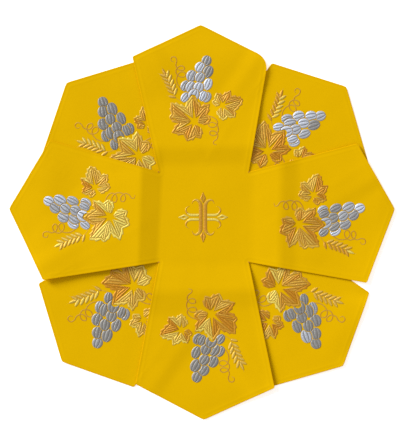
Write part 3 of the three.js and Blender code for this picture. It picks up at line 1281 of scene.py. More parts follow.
@dataclass(frozen=True)
class Lobe:
    """One lobe of a vine leaf, in polar measures about the meeting of its veins.

    Attributes:
        angle, length: Direction of its vein and tip, and the tip's distance.
        left, right: Angle and distance of the notches to its left and right.
        fills: Which field of stitches its left and right half belong to.
        vein: Where its bare vein ends, 0 for a lobe without one.
        saw: Where along a tooth its edge has points, the last of them its tip.
        start: How far out its inner line begins at least, and how many widths further in than the edge.
        clear: How far that line keeps from the vein, and from the notch's direction in radians.
    """

    angle: float
    length: float
    left: Pair
    right: Pair
    fills: tuple[int, int]
    vein: float = 0.0
    teeth: float = 2.3
    fullness: float = 1.2
    saw: tuple[float, ...] = (0.0, 0.4, 0.78)
    start: Pair = (0.2, 1.15)
    clear: Pair = (0.3, 0.03)

    def margin(self, notch: Pair, tooth: float, width: float) -> tuple[Array, Array]:
        """The jagged edge from a notch to the tip, and the smooth line inside it.

        Args:
            notch: Angle and distance of the notch.
            tooth: The length of one tooth.
            width: How far inside the smooth line runs.

        Returns:
            Both lines' points, given along the vein and away from it.
        """
        span = math.radians(abs(notch[0] - self.angle))
        breadth, foot = notch[1] * math.sin(span), notch[1] * math.cos(span)
        count = max(1, round(math.hypot(self.length - foot, breadth) / tooth))
        parts = np.array([step + part for step in range(count) for part in self.saw] + [float(count)])
        away = breadth * (1 - parts / count)
        along = foot + (self.length - foot) * (1 - (away / breadth) ** self.fullness)
        curve = np.stack([along, away], axis=1)
        outward = sideways(curve)
        rise = np.where(parts < count - 1, parts % 1 / self.saw[-1], 0.0)
        jagged = curve + outward * (self.teeth * rise)[:, None]
        inner = curve - outward * width
        least, pull = self.start
        start = curve[0] * max(least, 1 - pull * width / notch[1])
        bearing = np.arctan2(inner[:, 1], inner[:, 0])
        beside, within = self.clear
        kept = inner[(inner[:, 1] > beside) & (bearing < span - within) & (inner[:, 1] < start[1])]
        end = self.length - width / max(math.sin(math.atan2(breadth, self.length - foot)), 0.5)
        return jagged, np.vstack([start, kept, (max(end, start[0]), HAIR)])


def polar(angle: float, distance: float) -> Array:
    """Returns the point at an angle in degrees and a distance."""
    return np.array([math.cos(math.radians(angle)), math.sin(math.radians(angle))]) * distance


def bearing(way: Array) -> float:
    """Returns a direction in degrees."""
    return math.degrees(math.atan2(way[1], way[0]))


@dataclass(frozen=True)
class VineLeaf:
    """A vine leaf: along each lobe's margin a jagged column, and beside its vein pointed ones."""

    middle: Pair
    lobes: tuple[Lobe, ...]
    bare: float = 5.0
    vein_half: float = 2.0
    vein_bend: Pair = (0.7, 0.45)
    height: float = 0.6
    margin_width: float = 3.0
    column_width: float = 3.4
    tooth: float = 8.0
    lead: float = 1.3
    margin_slant: float = 0.6
    paler_margin: Pair = (0.1, 0.4)
    padding: float = 0.4
    size: float = 1.05

    def half(self, lobe: Lobe, notch: Pair, hand: int, tone: float) -> Iterator[Column]:
        """The columns of one half of a lobe.

        Args:
            lobe: The lobe.
            notch: Angle and distance of the notch on that side.
            hand: 1 for the left half and -1 for the right.
            tone: The painted sheen of its threads.

        Yields:
            The column along its margin, then those beside its vein.
        """

        def placed(rail: Sequence[Pair] | Array) -> Array:
            """Returns a rail in the motif's frame."""
            spread = np.array(rail) * np.array([1.0, hand]) * self.size
            return turned(spread, lobe.angle) + np.array(self.middle)

        jagged, inner = lobe.margin(notch, self.tooth, self.margin_width)
        # The margin column gets more painted sheen where its field has some.
        paler, least = self.paler_margin
        pale = tone + paler * (tone > least)
        yield Column(placed(jagged), placed(inner), self.height, pale, slant=self.margin_slant)
        span = math.radians(abs(notch[0] - lobe.angle))
        breadth = float(inner[0, 1])
        count = max(1, round(breadth / self.column_width))

        def begin(offset: float) -> float:
            """Returns how far out the stitches begin beside the vein."""
            return max(offset / math.tan(span), math.sqrt(max(self.bare**2 - offset**2, 0.0)))

        def end(offset: float) -> float:
            """Returns how far out they end."""
            reach = float(np.interp(offset, inner[::-1, 1], inner[::-1, 0]))
            return max(reach - 0.1, begin(offset) + 0.3)

        for number in range(count):
            near, far = breadth * number / count, breadth * (number + 1) / count
            if number or not lobe.vein:
                along_vein = [(begin(near), near), (end(near), near)]
                outer = [(begin(near), near)]
            else:
                bend, narrowed = self.vein_bend
                outer = [(begin(self.vein_half), self.vein_half)]
                middle = min(lobe.vein * bend, end(0.5) - 1)
                stop = min(lobe.vein, end(HAIR) - 0.5)
                along_vein = [*outer, (middle, self.vein_half * narrowed), (stop, HAIR), (end(HAIR), HAIR)]
            outer += [(begin(far), far), (end(far), far), (end(near), max(near, HAIR))]
            pads = tuple(self.padding * (1 - step / count) for step in (number + 1, number))
            yield Column(placed(outer), placed(along_vein), self.height, tone, slant=-self.lead, padding=pads)

    def columns(self, painted_sheens: Sequence[float]) -> Iterator[Column]:
        """The leaf's columns of stitches.

        Args:
            painted_sheens: The painted sheen of each field's threads.

        Yields:
            The columns.
        """
        for lobe in self.lobes:
            yield from self.half(lobe, lobe.left, 1, painted_sheens[lobe.fills[0]])
            yield from self.half(lobe, lobe.right, -1, painted_sheens[lobe.fills[1]])


@dataclass(frozen=True)
class Grape:
    """One grape: its middle, half its length and half its width."""

    middle: Pair
    half_long: float = 7.4
    half_wide: float = 6.9


@dataclass(frozen=True)
class Bunch:
    """A bunch of grapes, those nearest the leaf lying on the others.

    Attributes:
        leaf: What of the leaf lies over them.
        swell: How much larger than its own size each grape is stitched.
        lean, sway: The direction in which they lie, how far that differs, and how soon from one to the next.
        height, padding: How high the stitches stand, and the padding under their middle.
        seams: Where a grape's columns meet, from -1 at its right side to 1 at its left.
        pole: How near the poles the stitches begin, in radians from the girth.
    """

    grapes: tuple[Grape, ...]
    leaf: tuple[Oval, ...] = ()
    swell: float = 1.1
    lean: float = -30.0
    height: float = 0.6
    seams: tuple[float, ...] = (-1.0, -0.36, 0.36, 1.0)
    sway: Pair = (6.0, 2.4)
    pole: float = 1.35
    padding: float = 0.7
    slant: float = 0.5

    def columns(self, painted_sheens: Sequence[float]) -> Iterator[tuple[Column, list[Oval]]]:
        """The columns of each grape, running from pole to pole.

        Args:
            painted_sheens: The painted sheen of each grape.

        Yields:
            A column, and the ovals that lie over it.
        """
        ovals = []
        for number, grape in enumerate(self.grapes):
            lean = self.lean + self.sway[0] * math.sin(self.sway[1] * number)
            ovals.append(Oval(grape.middle, grape.half_long * self.swell, grape.half_wide * self.swell, lean))
        reach = np.sin(np.linspace(-self.pole, self.pole, 30))
        girth = np.sqrt(1 - reach**2)
        for number, oval in enumerate(ovals):
            covers = [*self.leaf, *ovals[:number]]
            for right, left in zip(self.seams, self.seams[1:], strict=False):
                rails = []
                for share in (left, right):
                    local = np.stack([reach * oval.half_long, share * girth * oval.half_wide], axis=1)
                    rails.append(turned(local, oval.lean) + np.array(oval.middle))
                pads = (self.padding * (1 - left**2), self.padding * (1 - right**2))
                tone = painted_sheens[number]
                part = Column(*rails, self.height, tone, slant=self.slant, padding=pads, paired=True)
                yield part, covers


@dataclass(frozen=True)
class Stem:
    """A line of narrow satin stitch through given points, which narrows at its end."""

    points: tuple[Pair, ...]
    width: float = 2.0
    height: float = 0.5
    tone: float = 0.2
    pitch: float = 0.6
    taper: float = 0.5
    fade: float = 0.12
    slant: float = 0.5

    def columns(self) -> Iterator[Column]:
        """The line's one column.

        Yields:
            The column.
        """
        line = curve_through(self.points)
        shares = np.linspace(0, 1, len(line))
        fade = np.minimum(1, (1 - shares) / self.fade) * (1 - self.taper) + self.taper
        rails = beside(line, self.width / 2 * fade)
        look = {"pitch": self.pitch, "slant": self.slant, "cells": 2, "paired": True}
        yield Column(*rails, self.height, self.tone, **look)


@dataclass(frozen=True)
class GrainRow:
    """The grains on one side of an ear: how many, how far they stand off, their size and their place."""

    count: int
    spread: float
    half_wide: float
    length: float
    awn: float
    feet: Pair = (0.16, 0.95)


@dataclass(frozen=True)
class WheatEar:
    """An ear of wheat: grains in two rows up a bent stalk, and one at its end."""

    painted_sheens: tuple[float, float, float]
    stalk: tuple[Pair, ...] = (
        *((30.5, 17.5), (33, 23), (36.5, 27.8), (45, 31.4)),
        *((54, 34.8), (63, 38.6), (69.5, 42)),
    )
    left: GrainRow = GrainRow(6, 40.0, 2.3, 10.6, 5.0, (0.25, 0.96))
    right: GrainRow = GrainRow(5, -44.0, 2.5, 11.2, 3.5, (0.34, 0.93))
    last: GrainRow = GrainRow(1, -4.0, 2.3, 11.5, 5.0)
    stalk_half: float = 0.6
    belly: tuple[float, float, float] = (0.1, 0.84, 0.75)
    awn_half: Pair = (0.4, 0.26)
    awn_lean: float = -6.0
    overlap: float = 0.8
    feel: float = 0.05

    def grain(self, foot: Array, angle: float, row: GrainRow, tone: float) -> Iterator[Column]:
        """One grain as a lens of stitches.

        Args:
            foot: Where it leaves the stalk.
            angle: Its direction in degrees.
            row: The row that it belongs to.
            tone: The painted sheen of its threads.

        Yields:
            Its column and its awn's.
        """
        shares = np.linspace(0, 1, 14)
        line = foot + shares[:, None] * polar(angle, row.length)[None]
        begin, run, fullness = self.belly
        girth = row.half_wide * np.sin(np.pi * (begin + run * shares)) ** fullness
        yield Column(*beside(line, girth), 0.8, tone, slant=1.1, paired=True)
        start = line[-1] - polar(angle, self.overlap)
        tail = np.linspace(start, start + polar(angle + self.awn_lean, row.awn), 6)
        yield Column(*beside(tail, np.linspace(*self.awn_half, 6)), 0.22, 0.3, pitch=2.0, cells=2)

    def columns(self) -> Iterator[Column]:
        """The ear's columns.

        Yields:
            The stalk's column, then each grain's and its awn's.
        """
        line = curve_through(self.stalk)
        yield Column(*beside(line, self.stalk_half), 0.35, 0.2, cells=2)
        for row, tone in zip((self.left, self.right), self.painted_sheens, strict=False):
            places = np.linspace(*row.feet, row.count)
            feet = along_line(line, places)
            heading = along_line(line, np.minimum(places + self.feel, 1))
            heading -= along_line(line, places - self.feel)
            for foot, way in zip(feet, heading, strict=True):
                yield from self.grain(foot, bearing(way) + row.spread, row, tone)
        facing = bearing(line[-1] - line[-3])
        yield from self.grain(line[-1], facing + self.last.spread, self.last, self.painted_sheens[-1])


@dataclass
class Spray:
    """The embroidered spray of a flap: grapes, two vine leaves, an ear of wheat and two tendrils."""

    row: "SprayRow"
    cloth: CrossCloth
    veil: Veil
    seed: int
    grapes: tuple[Grape, ...] = (
        Grape((40.0, 0.3), 8.2, 7.6),
        Grape((38.0, -13.6), 7.3, 5.6),
        Grape((36.5, 13.4), 7.3, 5.6),
        Grape((50.9, -7.2), 7.7, 7.2),
        Grape((52.2, 5.2), 8.2, 6.5),
        Grape((53.9, 12.8), 7.8, 6.2),
        Grape((55.6, -21.2), 8.4, 6.2),
        Grape((66.1, -9.6)),
        Grape((68.6, 3.0), 7.9, 7.4),
        Grape((74.4, -22.0), 8.8, 7.0),
        Grape((81.2, -9.9), 7.5, 7.1),
        Grape((90.9, -19.9), 7.2, 6.9),
        Grape((36.2, -19.0), 7.6, 6.2),
    )
    big_leaf: VineLeaf = VineLeaf(
        middle=(0.0, 0.0),
        lobes=(
            Lobe(4, 38, (31, 25), (-24, 24), (0, 5), vein=23),
            Lobe(50, 44, (70, 35), (31, 25), (1, 0), vein=21),
            Lobe(80, 37, (96, 23.5), (70, 35), (1, 1), fullness=1.8),
            Lobe(115, 37, (139, 25), (96, 23.5), (2, 1), vein=20),
            Lobe(159, 31, (182, 23), (139, 25), (3, 2), vein=14),
            Lobe(200, 26.5, (223, 15), (182, 23), (3, 3), fullness=1.4),
            Lobe(-84, 24, (-62, 21), (-112, 15), (4, 4), fullness=1.9),
            Lobe(-42, 34, (-24, 24), (-62, 21), (5, 4), vein=14),
        ),
    )
    small_leaf: VineLeaf = VineLeaf(
        middle=(23.3, -42.6), bare=4.0, vein_half=1.5, margin_width=2.4, column_width=2.9, tooth=6.0,
        lobes=(
            Lobe(-75, 31, (-44, 18.5), (-116, 19.5), (0, 4), vein=18, fullness=1.5),
            Lobe(-29, 25, (0, 15), (-44, 18.5), (1, 0), vein=12, teeth=1.8),
            Lobe(25, 21, (50, 14.5), (0, 15), (2, 1), vein=10, teeth=1.8),
            Lobe(70, 16.5, (98, 10), (50, 14.5), (2, 2), teeth=1.2, fullness=1.8),
            Lobe(180, 22.5, (203, 18), (134, 13), (3, 3), vein=11, teeth=1.8),
            Lobe(226, 26, (244, 19.5), (203, 18), (4, 3), vein=12, teeth=1.8),
        ),
    )
    outer_tendril: Stem = Stem(
        points=(
            *((48, 18), (57, 24.5), (66, 25.5), (73, 22), (75, 16)),
            *((71.5, 11.8), (67.3, 14.5), (68, 21.5), (74, 26.5), (81, 24.5)),
            *((84, 18), (81, 13.5), (77.5, 16), (78.5, 23), (85, 26.5)),
            *((91.5, 25), (97, 27), (97, 32.5), (92, 33.5), (90, 29.5)),
        )
    )
    inner_tendril: Stem = Stem(
        points=(
            *((8, -21), (5, -29), (0, -34), (-6, -33.5), (-9.5, -28)),
            *((-8, -22), (-3.5, -21.5), (-2, -27), (-5.5, -33), (-12, -35.5)),
            *((-19, -33.5), (-22, -28), (-20, -23), (-15.5, -23.5), (-15.5, -30)),
            *((-21, -34.5), (-27, -33), (-30.5, -28.5), (-34.5, -28), (-36, -33)),
        )
    )
    cover: tuple[Oval, ...] = (
        Oval((26.0, 1.2), 14.0, 6.5, 3.0),
        Oval((20.0, -16.5), 10.0, 5.5, -42.0),
        Oval((24.0, 26.0), 17.0, 8.5, 49.0),
    )
    region: tuple[Pair, Pair] = ((-45.0, -82.0), (110.0, 64.0))
    unlike: float = 0.05
    placing: Placing = field(init=False)
    ground: Ground = field(init=False)

    def __post_init__(self) -> None:
        """Places the spray and measures the cloth under it."""
        row = self.row
        x, y = turned(np.array([row.along, row.across]), row.turn) + self.cloth.origin
        self.placing = Placing((float(x), float(y)), row.turn + row.lean, row.mirrored, row.size)
        (left, low), (right, high) = self.region
        reach = self.placing.put(np.array([(left, low), (left, high), (right, low), (right, high)]))
        cover = self.veil.upper if self.cloth is self.veil.lower else None
        self.ground = Ground(self.cloth, cover, reach.min(axis=0), reach.max(axis=0))

    def build_grapes(self) -> Object:
        """Sews the grapes.

        Returns:
            Their piece.
        """
        mesh = StitchMesh(f"spray_{self.row.name}_grapes", self.ground, self.seed)
        bunch = Bunch(self.grapes, leaf=self.cover)
        painted_sheens = [self.row.silver] * len(self.grapes)
        for number, tone in self.row.odd_grapes:
            painted_sheens[number] = tone
        for column, covers in bunch.columns(painted_sheens):
            mesh.add(column, covers, self.placing)
        return mesh.build()

    def build_leaves(self) -> Object:
        """Sews the leaves, the wheat and the tendrils.

        Returns:
            Their piece.
        """
        mesh = StitchMesh(f"spray_{self.row.name}_leaves", self.ground, self.seed + LEAVES_SEED)
        chance = np.random.default_rng(self.seed + TONES_SEED)
        for leaf, painted_sheens in ((self.big_leaf, self.row.big), (self.small_leaf, self.row.small)):
            for column in leaf.columns(painted_sheens):
                column.tone += self.unlike * float(chance.standard_normal())
                mesh.add(column, (), self.placing)
        for part in (WheatEar(self.row.wheat), self.outer_tendril, self.inner_tendril):
            for column in part.columns():
                mesh.add(column, (), self.placing)
        return mesh.build()


# How far the cross lies from the middle of its square.
CROSS_OFF = np.array([-1.0, -0.3])


@dataclass(frozen=True)
class CentreCross:
    """The small cross on the centre square: doubled bars that curl outwards round pointed lozenges.

    Attributes:
        bar: The middle line of one bar, along its arm and away from the arm's middle, without its foot.
        bar_widths, bar_outs: A lying and a standing bar's width, and how far from the arm's middle it is.
        bar_sheens, curl_sheen: The painted sheen of a lying bar, a standing bar and the curls, from how their
            stitches lie to the light.
        bend, tapering: Shares of a bar's length where its curl begins and over which it narrows.
        lozenge, lozenge_half: Where a lozenge begins and ends, and half its width.
        eye: Half the width of the dark eye in the lozenge of a lying arm.
        feet: How far from the middle the bars of a lying and of a standing arm begin.
        belly: Where along a lozenge it is widest, and half the width of its points.
        slit: Where along it the eye is widest, and over what share it closes.
    """

    middle: Pair
    bar: tuple[Pair, ...] = ((13, 0), (18.6, 0.3), (23, 2.9), (25.2, 7.2), (23.6, 11), (19.6, 13))
    bar_widths: Pair = (4.2, 6.0)
    bar_outs: Pair = (3.15, 3.3)
    bar_sheens: Pair = (0.85, 0.2)
    curl_sheen: float = 0.3
    bend: float = 0.46
    tapering: float = 0.66
    lozenge: Pair = (20.6, 36.4)
    lozenge_half: float = 4.4
    eye: float = 1.1
    feet: Pair = (5.8, -0.2)
    belly: Pair = (0.42, 0.15)
    slit: Pair = (0.45, 0.22)
    region: float = 45.0

    def bars(self, turn: float) -> Iterator[Column]:
        """The two bars of one arm.

        Args:
            turn: The arm's direction in degrees.

        Yields:
            One column for each bar.
        """
        standing = turn % 180 == 90
        full, out = self.bar_widths[standing], self.bar_outs[standing]
        for hand in (1, -1):
            line = curve_through([(self.feet[standing], 0), *self.bar]) + np.array([0, out])
            line = line * np.array([1, hand])
            shares = np.linspace(0, 1, len(line))
            girth = full / 2 * np.minimum(1, np.maximum((1 - shares) / self.tapering, 0.1))
            rails = [turned(rail, turn) for rail in beside(line, girth)]
            bend = round(len(line) * self.bend)
            straight, curl = slice(0, bend + 1), slice(bend, None)
            for part, tone in ((straight, self.bar_sheens[standing]), (curl, self.curl_sheen)):
                yield Column(*(rail[part] for rail in rails), 0.55, tone, slant=0.8 * hand, paired=True)

    def lozenges(self, turn: float) -> Iterator[Column]:
        """The lozenge at the end of one arm.

        Args:
            turn: The arm's direction in degrees.

        Yields:
            One column for each half, and one for the eye.
        """
        near, far = self.lozenge
        eye = 0.0 if turn % 180 == 90 else self.eye
        shares = np.linspace(0, 1, 24)
        along = near + (far - near) * shares
        widest, point = self.belly
        outer = self.lozenge_half * np.minimum(shares / widest, (1 - shares) / (1 - widest)) + point
        middle, reach = self.slit
        slit = eye * np.maximum(0, 1 - np.abs(shares - middle) / reach)
        for hand in (1, -1):
            rails = [turned(np.stack([along, hand * breadth], axis=1), turn) for breadth in (outer, slit)]
            yield Column(*rails, 0.6, self.bar_sheens[turn % 180 == 90], slant=0.9 * hand, paired=True)
        if eye:
            seen = slice(6, 16)
            rails = [turned(np.stack([along, hand * slit], axis=1)[seen], turn) for hand in (1, -1)]
            yield Column(*rails, 0.3, tone=0.0, play=0.0, paired=True)

    def build(self, veil: Veil) -> Object:
        """Makes the cross.

        Args:
            veil: Both cloths.

        Returns:
            Its piece.
        """
        middle = np.array(self.middle)
        ground = Ground(veil.upper, None, middle - self.region, middle + self.region)
        mesh = StitchMesh("centre_cross", ground, CROSS_SEED)
        placing = Placing(self.middle, 0)
        for turn in QUARTERS:
            for column in (*self.bars(turn), *self.lozenges(turn)):
                mesh.add(column, (), placing)
        return mesh.build()


@dataclass(frozen=True)
class SquareStitching:
    """The line of small stitches round the centre square, and the tacks at its corners."""

    out: float = 1.4
    stitch: float = 2.2
    stitch_half: float = 0.22
    gap: float = 1.1
    ends: float = 6.0
    tacks: tuple[float, ...] = (20, -35, 75)
    tack_in: float = 2.5
    tack_half: Pair = (1.6, 0.4)
    region: float = 75.0

    def build(self, veil: Veil) -> Object:
        """Makes the stitches and tacks.

        Args:
            veil: Both cloths.

        Returns:
            Their piece.
        """
        half = veil.upper.half_square + self.out
        middle = veil.upper.origin
        ground = Ground(veil.upper, None, middle - self.region, middle + self.region)
        mesh = StitchMesh("square_stitching", ground, STITCHING_SEED)
        placing = Placing(tuple(middle), 0)
        count = int(2 * (half - self.ends) / (self.stitch + self.gap))
        long, wide = self.tack_half

        def sew(line: Array, offset: Array, turn: float, height: float, look: dict[str, float]) -> None:
            """Sews one stitch along a line, with its rails at an offset to both sides."""
            rails = turned(line + offset, turn), turned(line - offset, turn)
            mesh.add(Column(*rails, height, cells=2, **look), (), placing)

        for turn in QUARTERS:
            for number in range(count):
                start = -half + self.ends + number * (self.stitch + self.gap)
                line = np.array([[half, start], [half, start + self.stitch]])
                sew(line, np.array([-self.stitch_half, 0.0]), turn, 0.2, {"tone": 0.35, "pitch": 1.1})
            for lean in self.tacks:
                spot = polar(45, half * math.sqrt(2) - self.tack_in)
                line = spot + np.array([polar(lean, -long), polar(lean, long)])
                look = {"tone": -0.6, "play": 0.0, "pitch": 0.8}
                sew(line, polar(lean + 90, wide), turn, 0.4, look)
        return mesh.build()


class NodeSheet:
    """A node tree with short ways to add and join nodes."""

    def __init__(self, tree: NodeTree) -> None:
        """Keeps the tree."""
        self.tree = tree

    def add(self, kind: str, inputs: dict | None = None, **settings: object) -> Node:
        """Adds a node.

        Args:
            kind: The node's type.
            inputs: Values or sockets for its inputs, by name or number.
            **settings: The node's own settings.

        Returns:
            The node.
        """
        node = self.tree.nodes.new(kind)
        for name, value in settings.items():
            setattr(node, name, value)
        for name, value in (inputs or {}).items():
            socket = node.inputs[name]
            if isinstance(value, NodeSocket):
                self.tree.links.new(value, socket)
            else:
                socket.default_value = value
        return node

    def math(self, operation: str, first: object, second: object = 0.0) -> NodeSocket:
        """Adds a Math node and returns its output."""
        return self.add("ShaderNodeMath", {0: first, 1: second}, operation=operation).outputs[0]

    def mix(self, share: object, first: object, second: object, blend: str = "MIX") -> NodeSocket:
        """Adds a colour mix and returns its output."""
        ends = {0: share, 6: first, 7: second}
        return self.add("ShaderNodeMix", ends, data_type="RGBA", blend_type=blend).outputs[2]

    def ranged(self, value: object, ends: Pair, results: Pair) -> NodeSocket:
        """Adds a Map Range node from two ends to two results, and returns its output."""
        inputs = dict(enumerate((value, *ends, *results)))
        return self.add("ShaderNodeMapRange", inputs, interpolation_type="SMOOTHSTEP").outputs[0]

    def mesh_value(self, name: str, output: str = "Fac") -> NodeSocket:
        """Adds an Attribute node for a value of the mesh and returns its output."""
        return self.add("ShaderNodeAttribute", attribute_name=name).outputs[output]

    def effect(self, effect: "Effect", inputs: dict[str, float]) -> Node:
        """Adds a shared effect and returns its node."""
        return self.add("ShaderNodeGroup", inputs, node_tree=effect.group())

    def grey(self, shade: object) -> NodeSocket:
        """Adds a grey and returns its output."""
        return self.add("ShaderNodeCombineColor", {0: shade, 1: shade, 2: shade}).outputs[0]

    def surface(self, inputs: dict[str, object]) -> None:
        """Adds the shader with its inputs, and the material's output."""
        shader = self.add("ShaderNodeBsdfPrincipled", inputs)
        self.add("ShaderNodeOutputMaterial", {0: shader.outputs[0]})


def new_material(name: str) -> tuple[Material, NodeSheet]:
    """Makes a material without nodes.

    Args:
        name: Its name.

    Returns:
        The material and its sheet.
    """
    made = bpy.data.materials.new(name)
    made.use_nodes = True
    made.node_tree.nodes.clear()
    return made, NodeSheet(made.node_tree)


class Effect(Enum):
    """Effects that more than one material uses, each built once as a node group."""

    MOTTLE = "veil_mottle"
    FIBRE = "veil_fibre"

    def group(self) -> NodeTree:
        """The effect's node group, which is built at the first call.

        Returns:
            The group.
        """
        found = bpy.data.node_groups.get(self.value)
        if found:
            return found
        tree = bpy.data.node_groups.new(self.value, "ShaderNodeTree")
        return self.build_mottle(tree) if self is Effect.MOTTLE else self.build_fibre(tree)

    @staticmethod
    def opened(
        tree: NodeTree, inputs: dict[str, float], outputs: Sequence[str]
    ) -> tuple[NodeSheet, Node, Node]:
        """Names a group's sockets.

        Args:
            tree: The group.
            inputs: Default values by name.
            outputs: Names.

        Returns:
            The group's sheet, its entry and its exit.
        """
        for name, value in inputs.items():
            socket = tree.interface.new_socket(name, in_out="INPUT", socket_type="NodeSocketFloat")
            socket.default_value = value
        for name in outputs:
            tree.interface.new_socket(name, in_out="OUTPUT", socket_type="NodeSocketFloat")
        sheet = NodeSheet(tree)
        return sheet, sheet.add("NodeGroupInput"), sheet.add("NodeGroupOutput")

    def build_mottle(self, tree: NodeTree) -> NodeTree:
        """Uneven dyeing and handling: a soft shade over patches and flecks.

        Args:
            tree: The empty group.

        Returns:
            The group. Its Shade is near 1, and its Patch runs from 0 to 1.
        """
        inputs = {"Patch Scale": 14.0, "Fleck Scale": 900.0, "Strength": 0.05}
        sheet, entry, way_out = self.opened(tree, inputs, ("Shade", "Patch"))
        place = sheet.add("ShaderNodeTexCoord").outputs["Object"]
        patch = sheet.add("ShaderNodeTexNoise", {"Vector": place, "Scale": entry.outputs[0], "Detail": 3.0})
        fleck = sheet.add("ShaderNodeTexNoise", {"Vector": place, "Scale": entry.outputs[1], "Detail": 2.0})
        both = sheet.math("ADD", patch.outputs[0], fleck.outputs[0])
        off = sheet.math("MULTIPLY", sheet.math("SUBTRACT", both, 1.0), entry.outputs[2])
        sheet.tree.links.new(sheet.math("ADD", off, 1.0), way_out.inputs[0])
        sheet.tree.links.new(patch.outputs[0], way_out.inputs[1])
        return tree

    def build_fibre(self, tree: NodeTree) -> NodeTree:
        """The fine strands of a thread or yarn, as a shade and a height.

        Args:
            tree: The empty group.

        Returns:
            The group. Its Shade is near 1, and its Height runs from 0 to 1.
        """
        inputs = {"Scale": 2600.0, "Contrast": 0.2}
        sheet, entry, way_out = self.opened(tree, inputs, ("Shade", "Height"))
        place = sheet.add("ShaderNodeTexCoord").outputs["Object"]
        strand = sheet.add("ShaderNodeTexNoise", {"Vector": place, "Scale": entry.outputs[0], "Detail": 1.0})
        level = sheet.math("SUBTRACT", strand.outputs[0], 0.5)
        shade = sheet.math("ADD", sheet.math("MULTIPLY", level, entry.outputs[1]), 1.0)
        sheet.tree.links.new(shade, way_out.inputs[0])
        sheet.tree.links.new(strand.outputs[0], way_out.inputs[1])
        return tree


@dataclass(frozen=True)
class SatinFinish:
    """The golden yellow cloth: a fine twill with a soft sheen."""

    name: str = "golden_satin"
    face: Colour = (0.672, 0.386, 0.0004, 1.0)
    # Painted shade along the cut edge: a darker colour that the edge band and the rim wall fade to.
    edge_shade: Colour = (0.64, 0.345, 0.0004, 1.0)
    edge_shade_share: float = 0.75
    edge_shade_in: float = 3.5
    rib_pitch: float = 0.55
    rib_slope: float = 0.6
    cross_pitch: float = 0.8
    cross_depth: float = 0.35
    weave_shade: float = 0.012
    weave_height: float = 0.35
    roughness: float = 0.64

    def material(self) -> Material:
        """The cloth's material.

        Returns:
            The material.
        """
        made, sheet = new_material(self.name)
        mottle = sheet.effect(Effect.MOTTLE, {"Patch Scale": 11.0, "Fleck Scale": 420.0, "Strength": 0.06})
        fibre = sheet.effect(Effect.FIBRE, {"Scale": 1500.0, "Contrast": 0.08})
        split = sheet.add("ShaderNodeSeparateXYZ", {0: sheet.mesh_value("Plan", "Vector")})
        across, along = split.outputs[0], split.outputs[1]
        slope = sheet.math("ADD", across, sheet.math("MULTIPLY", along, self.rib_slope))
        turns = 2 * math.pi / self.rib_pitch
        rib = sheet.math("SINE", sheet.math("MULTIPLY", slope, turns))
        cross = sheet.math("SINE", sheet.math("MULTIPLY", along, turns / self.cross_pitch))
        weave = sheet.math("ADD", rib, sheet.math("MULTIPLY", cross, self.cross_depth))
        # Painted shade: the colour darkens towards the cut edge over its last few millimetres.
        edge_shade_mask = sheet.ranged(sheet.mesh_value("Inset"), (0.0, self.edge_shade_in), (self.edge_shade_share, 0.0))
        base = sheet.mix(edge_shade_mask, self.face, self.edge_shade)
        shade = sheet.math("MULTIPLY", mottle.outputs["Shade"], fibre.outputs["Shade"])
        shade = sheet.math("ADD", shade, sheet.math("MULTIPLY", weave, self.weave_shade))
        raised = sheet.math("MULTIPLY", weave, self.weave_height)
        height = sheet.math("ADD", raised, fibre.outputs["Height"])
        bump = sheet.add("ShaderNodeBump", {"Strength": 0.35, "Distance": 0.00007, "Height": height})
        rough = (self.roughness - 0.04, self.roughness + 0.04)
        sheet.surface(
            {
                "Base Color": sheet.mix(1.0, base, sheet.grey(shade), "MULTIPLY"),
                "Roughness": sheet.ranged(mottle.outputs["Patch"], (0.3, 0.7), rough),
                "Normal": bump.outputs[0],
                "Metallic": 0.0,
                "Specular IOR Level": 0.08,
                "Specular Tint": (1.0, 0.6, 0.02, 1.0),
                "Sheen Weight": 0.04,
                "Sheen Roughness": 0.45,
                "Sheen Tint": (1.0, 0.62, 0.04, 1.0),
            }
        )
        return made


@dataclass(frozen=True)
class ThreadFinish:
    """An embroidery thread, with painted shade in its hollows and a painted highlight where its stitches lie
    across the light.
    """

    name: str
    # The hollow colours are painted shade in the hollows between threads, for pale and for dull threads.
    hollow_shade: Colour
    dull_hollow_shade: Colour
    # The dark colour is the thread away from its sheen; the bright one is a painted highlight.
    dark: Colour
    sheen_highlight: Colour
    metallic: float = 0.35
    roughness: float = 0.42
    # Where the painted hollow shade gives way to the thread's colour.
    hollow_shade_ends: Pair = (0.1, 0.75)

    def material(self) -> Material:
        """The thread's material.

        Returns:
            The material.
        """
        made, sheet = new_material(self.name)
        mottle = sheet.effect(Effect.MOTTLE, {"Patch Scale": 120.0, "Fleck Scale": 1400.0, "Strength": 0.16})
        fibre = sheet.effect(Effect.FIBRE, {})
        tone, lit_share = sheet.mesh_value("PaintedSheen"), sheet.mesh_value("Depth")
        # Painted sheen: from the thread's dark colour to its painted highlight.
        thread = sheet.mix(tone, self.dark, self.sheen_highlight)
        # Painted shade in the hollows between threads and along the rails.
        hollow_shade = sheet.mix(tone, self.dull_hollow_shade, self.hollow_shade)
        lit = sheet.mix(sheet.ranged(lit_share, self.hollow_shade_ends, (0.0, 1.0)), hollow_shade, thread)
        shade = sheet.math("MULTIPLY", mottle.outputs["Shade"], fibre.outputs["Shade"])
        height = fibre.outputs["Height"]
        bump = sheet.add("ShaderNodeBump", {"Strength": 0.25, "Distance": 0.00003, "Height": height})
        rough = (self.roughness - 0.05, self.roughness + 0.05)
        sheet.surface(
            {
                "Base Color": sheet.mix(1.0, lit, sheet.grey(shade), "MULTIPLY"),
                "Roughness": sheet.ranged(mottle.outputs["Patch"], (0.3, 0.7), rough),
                "Normal": bump.outputs[0],
                "Metallic": self.metallic,
                "Specular IOR Level": 0.3,
            }
        )
        return made


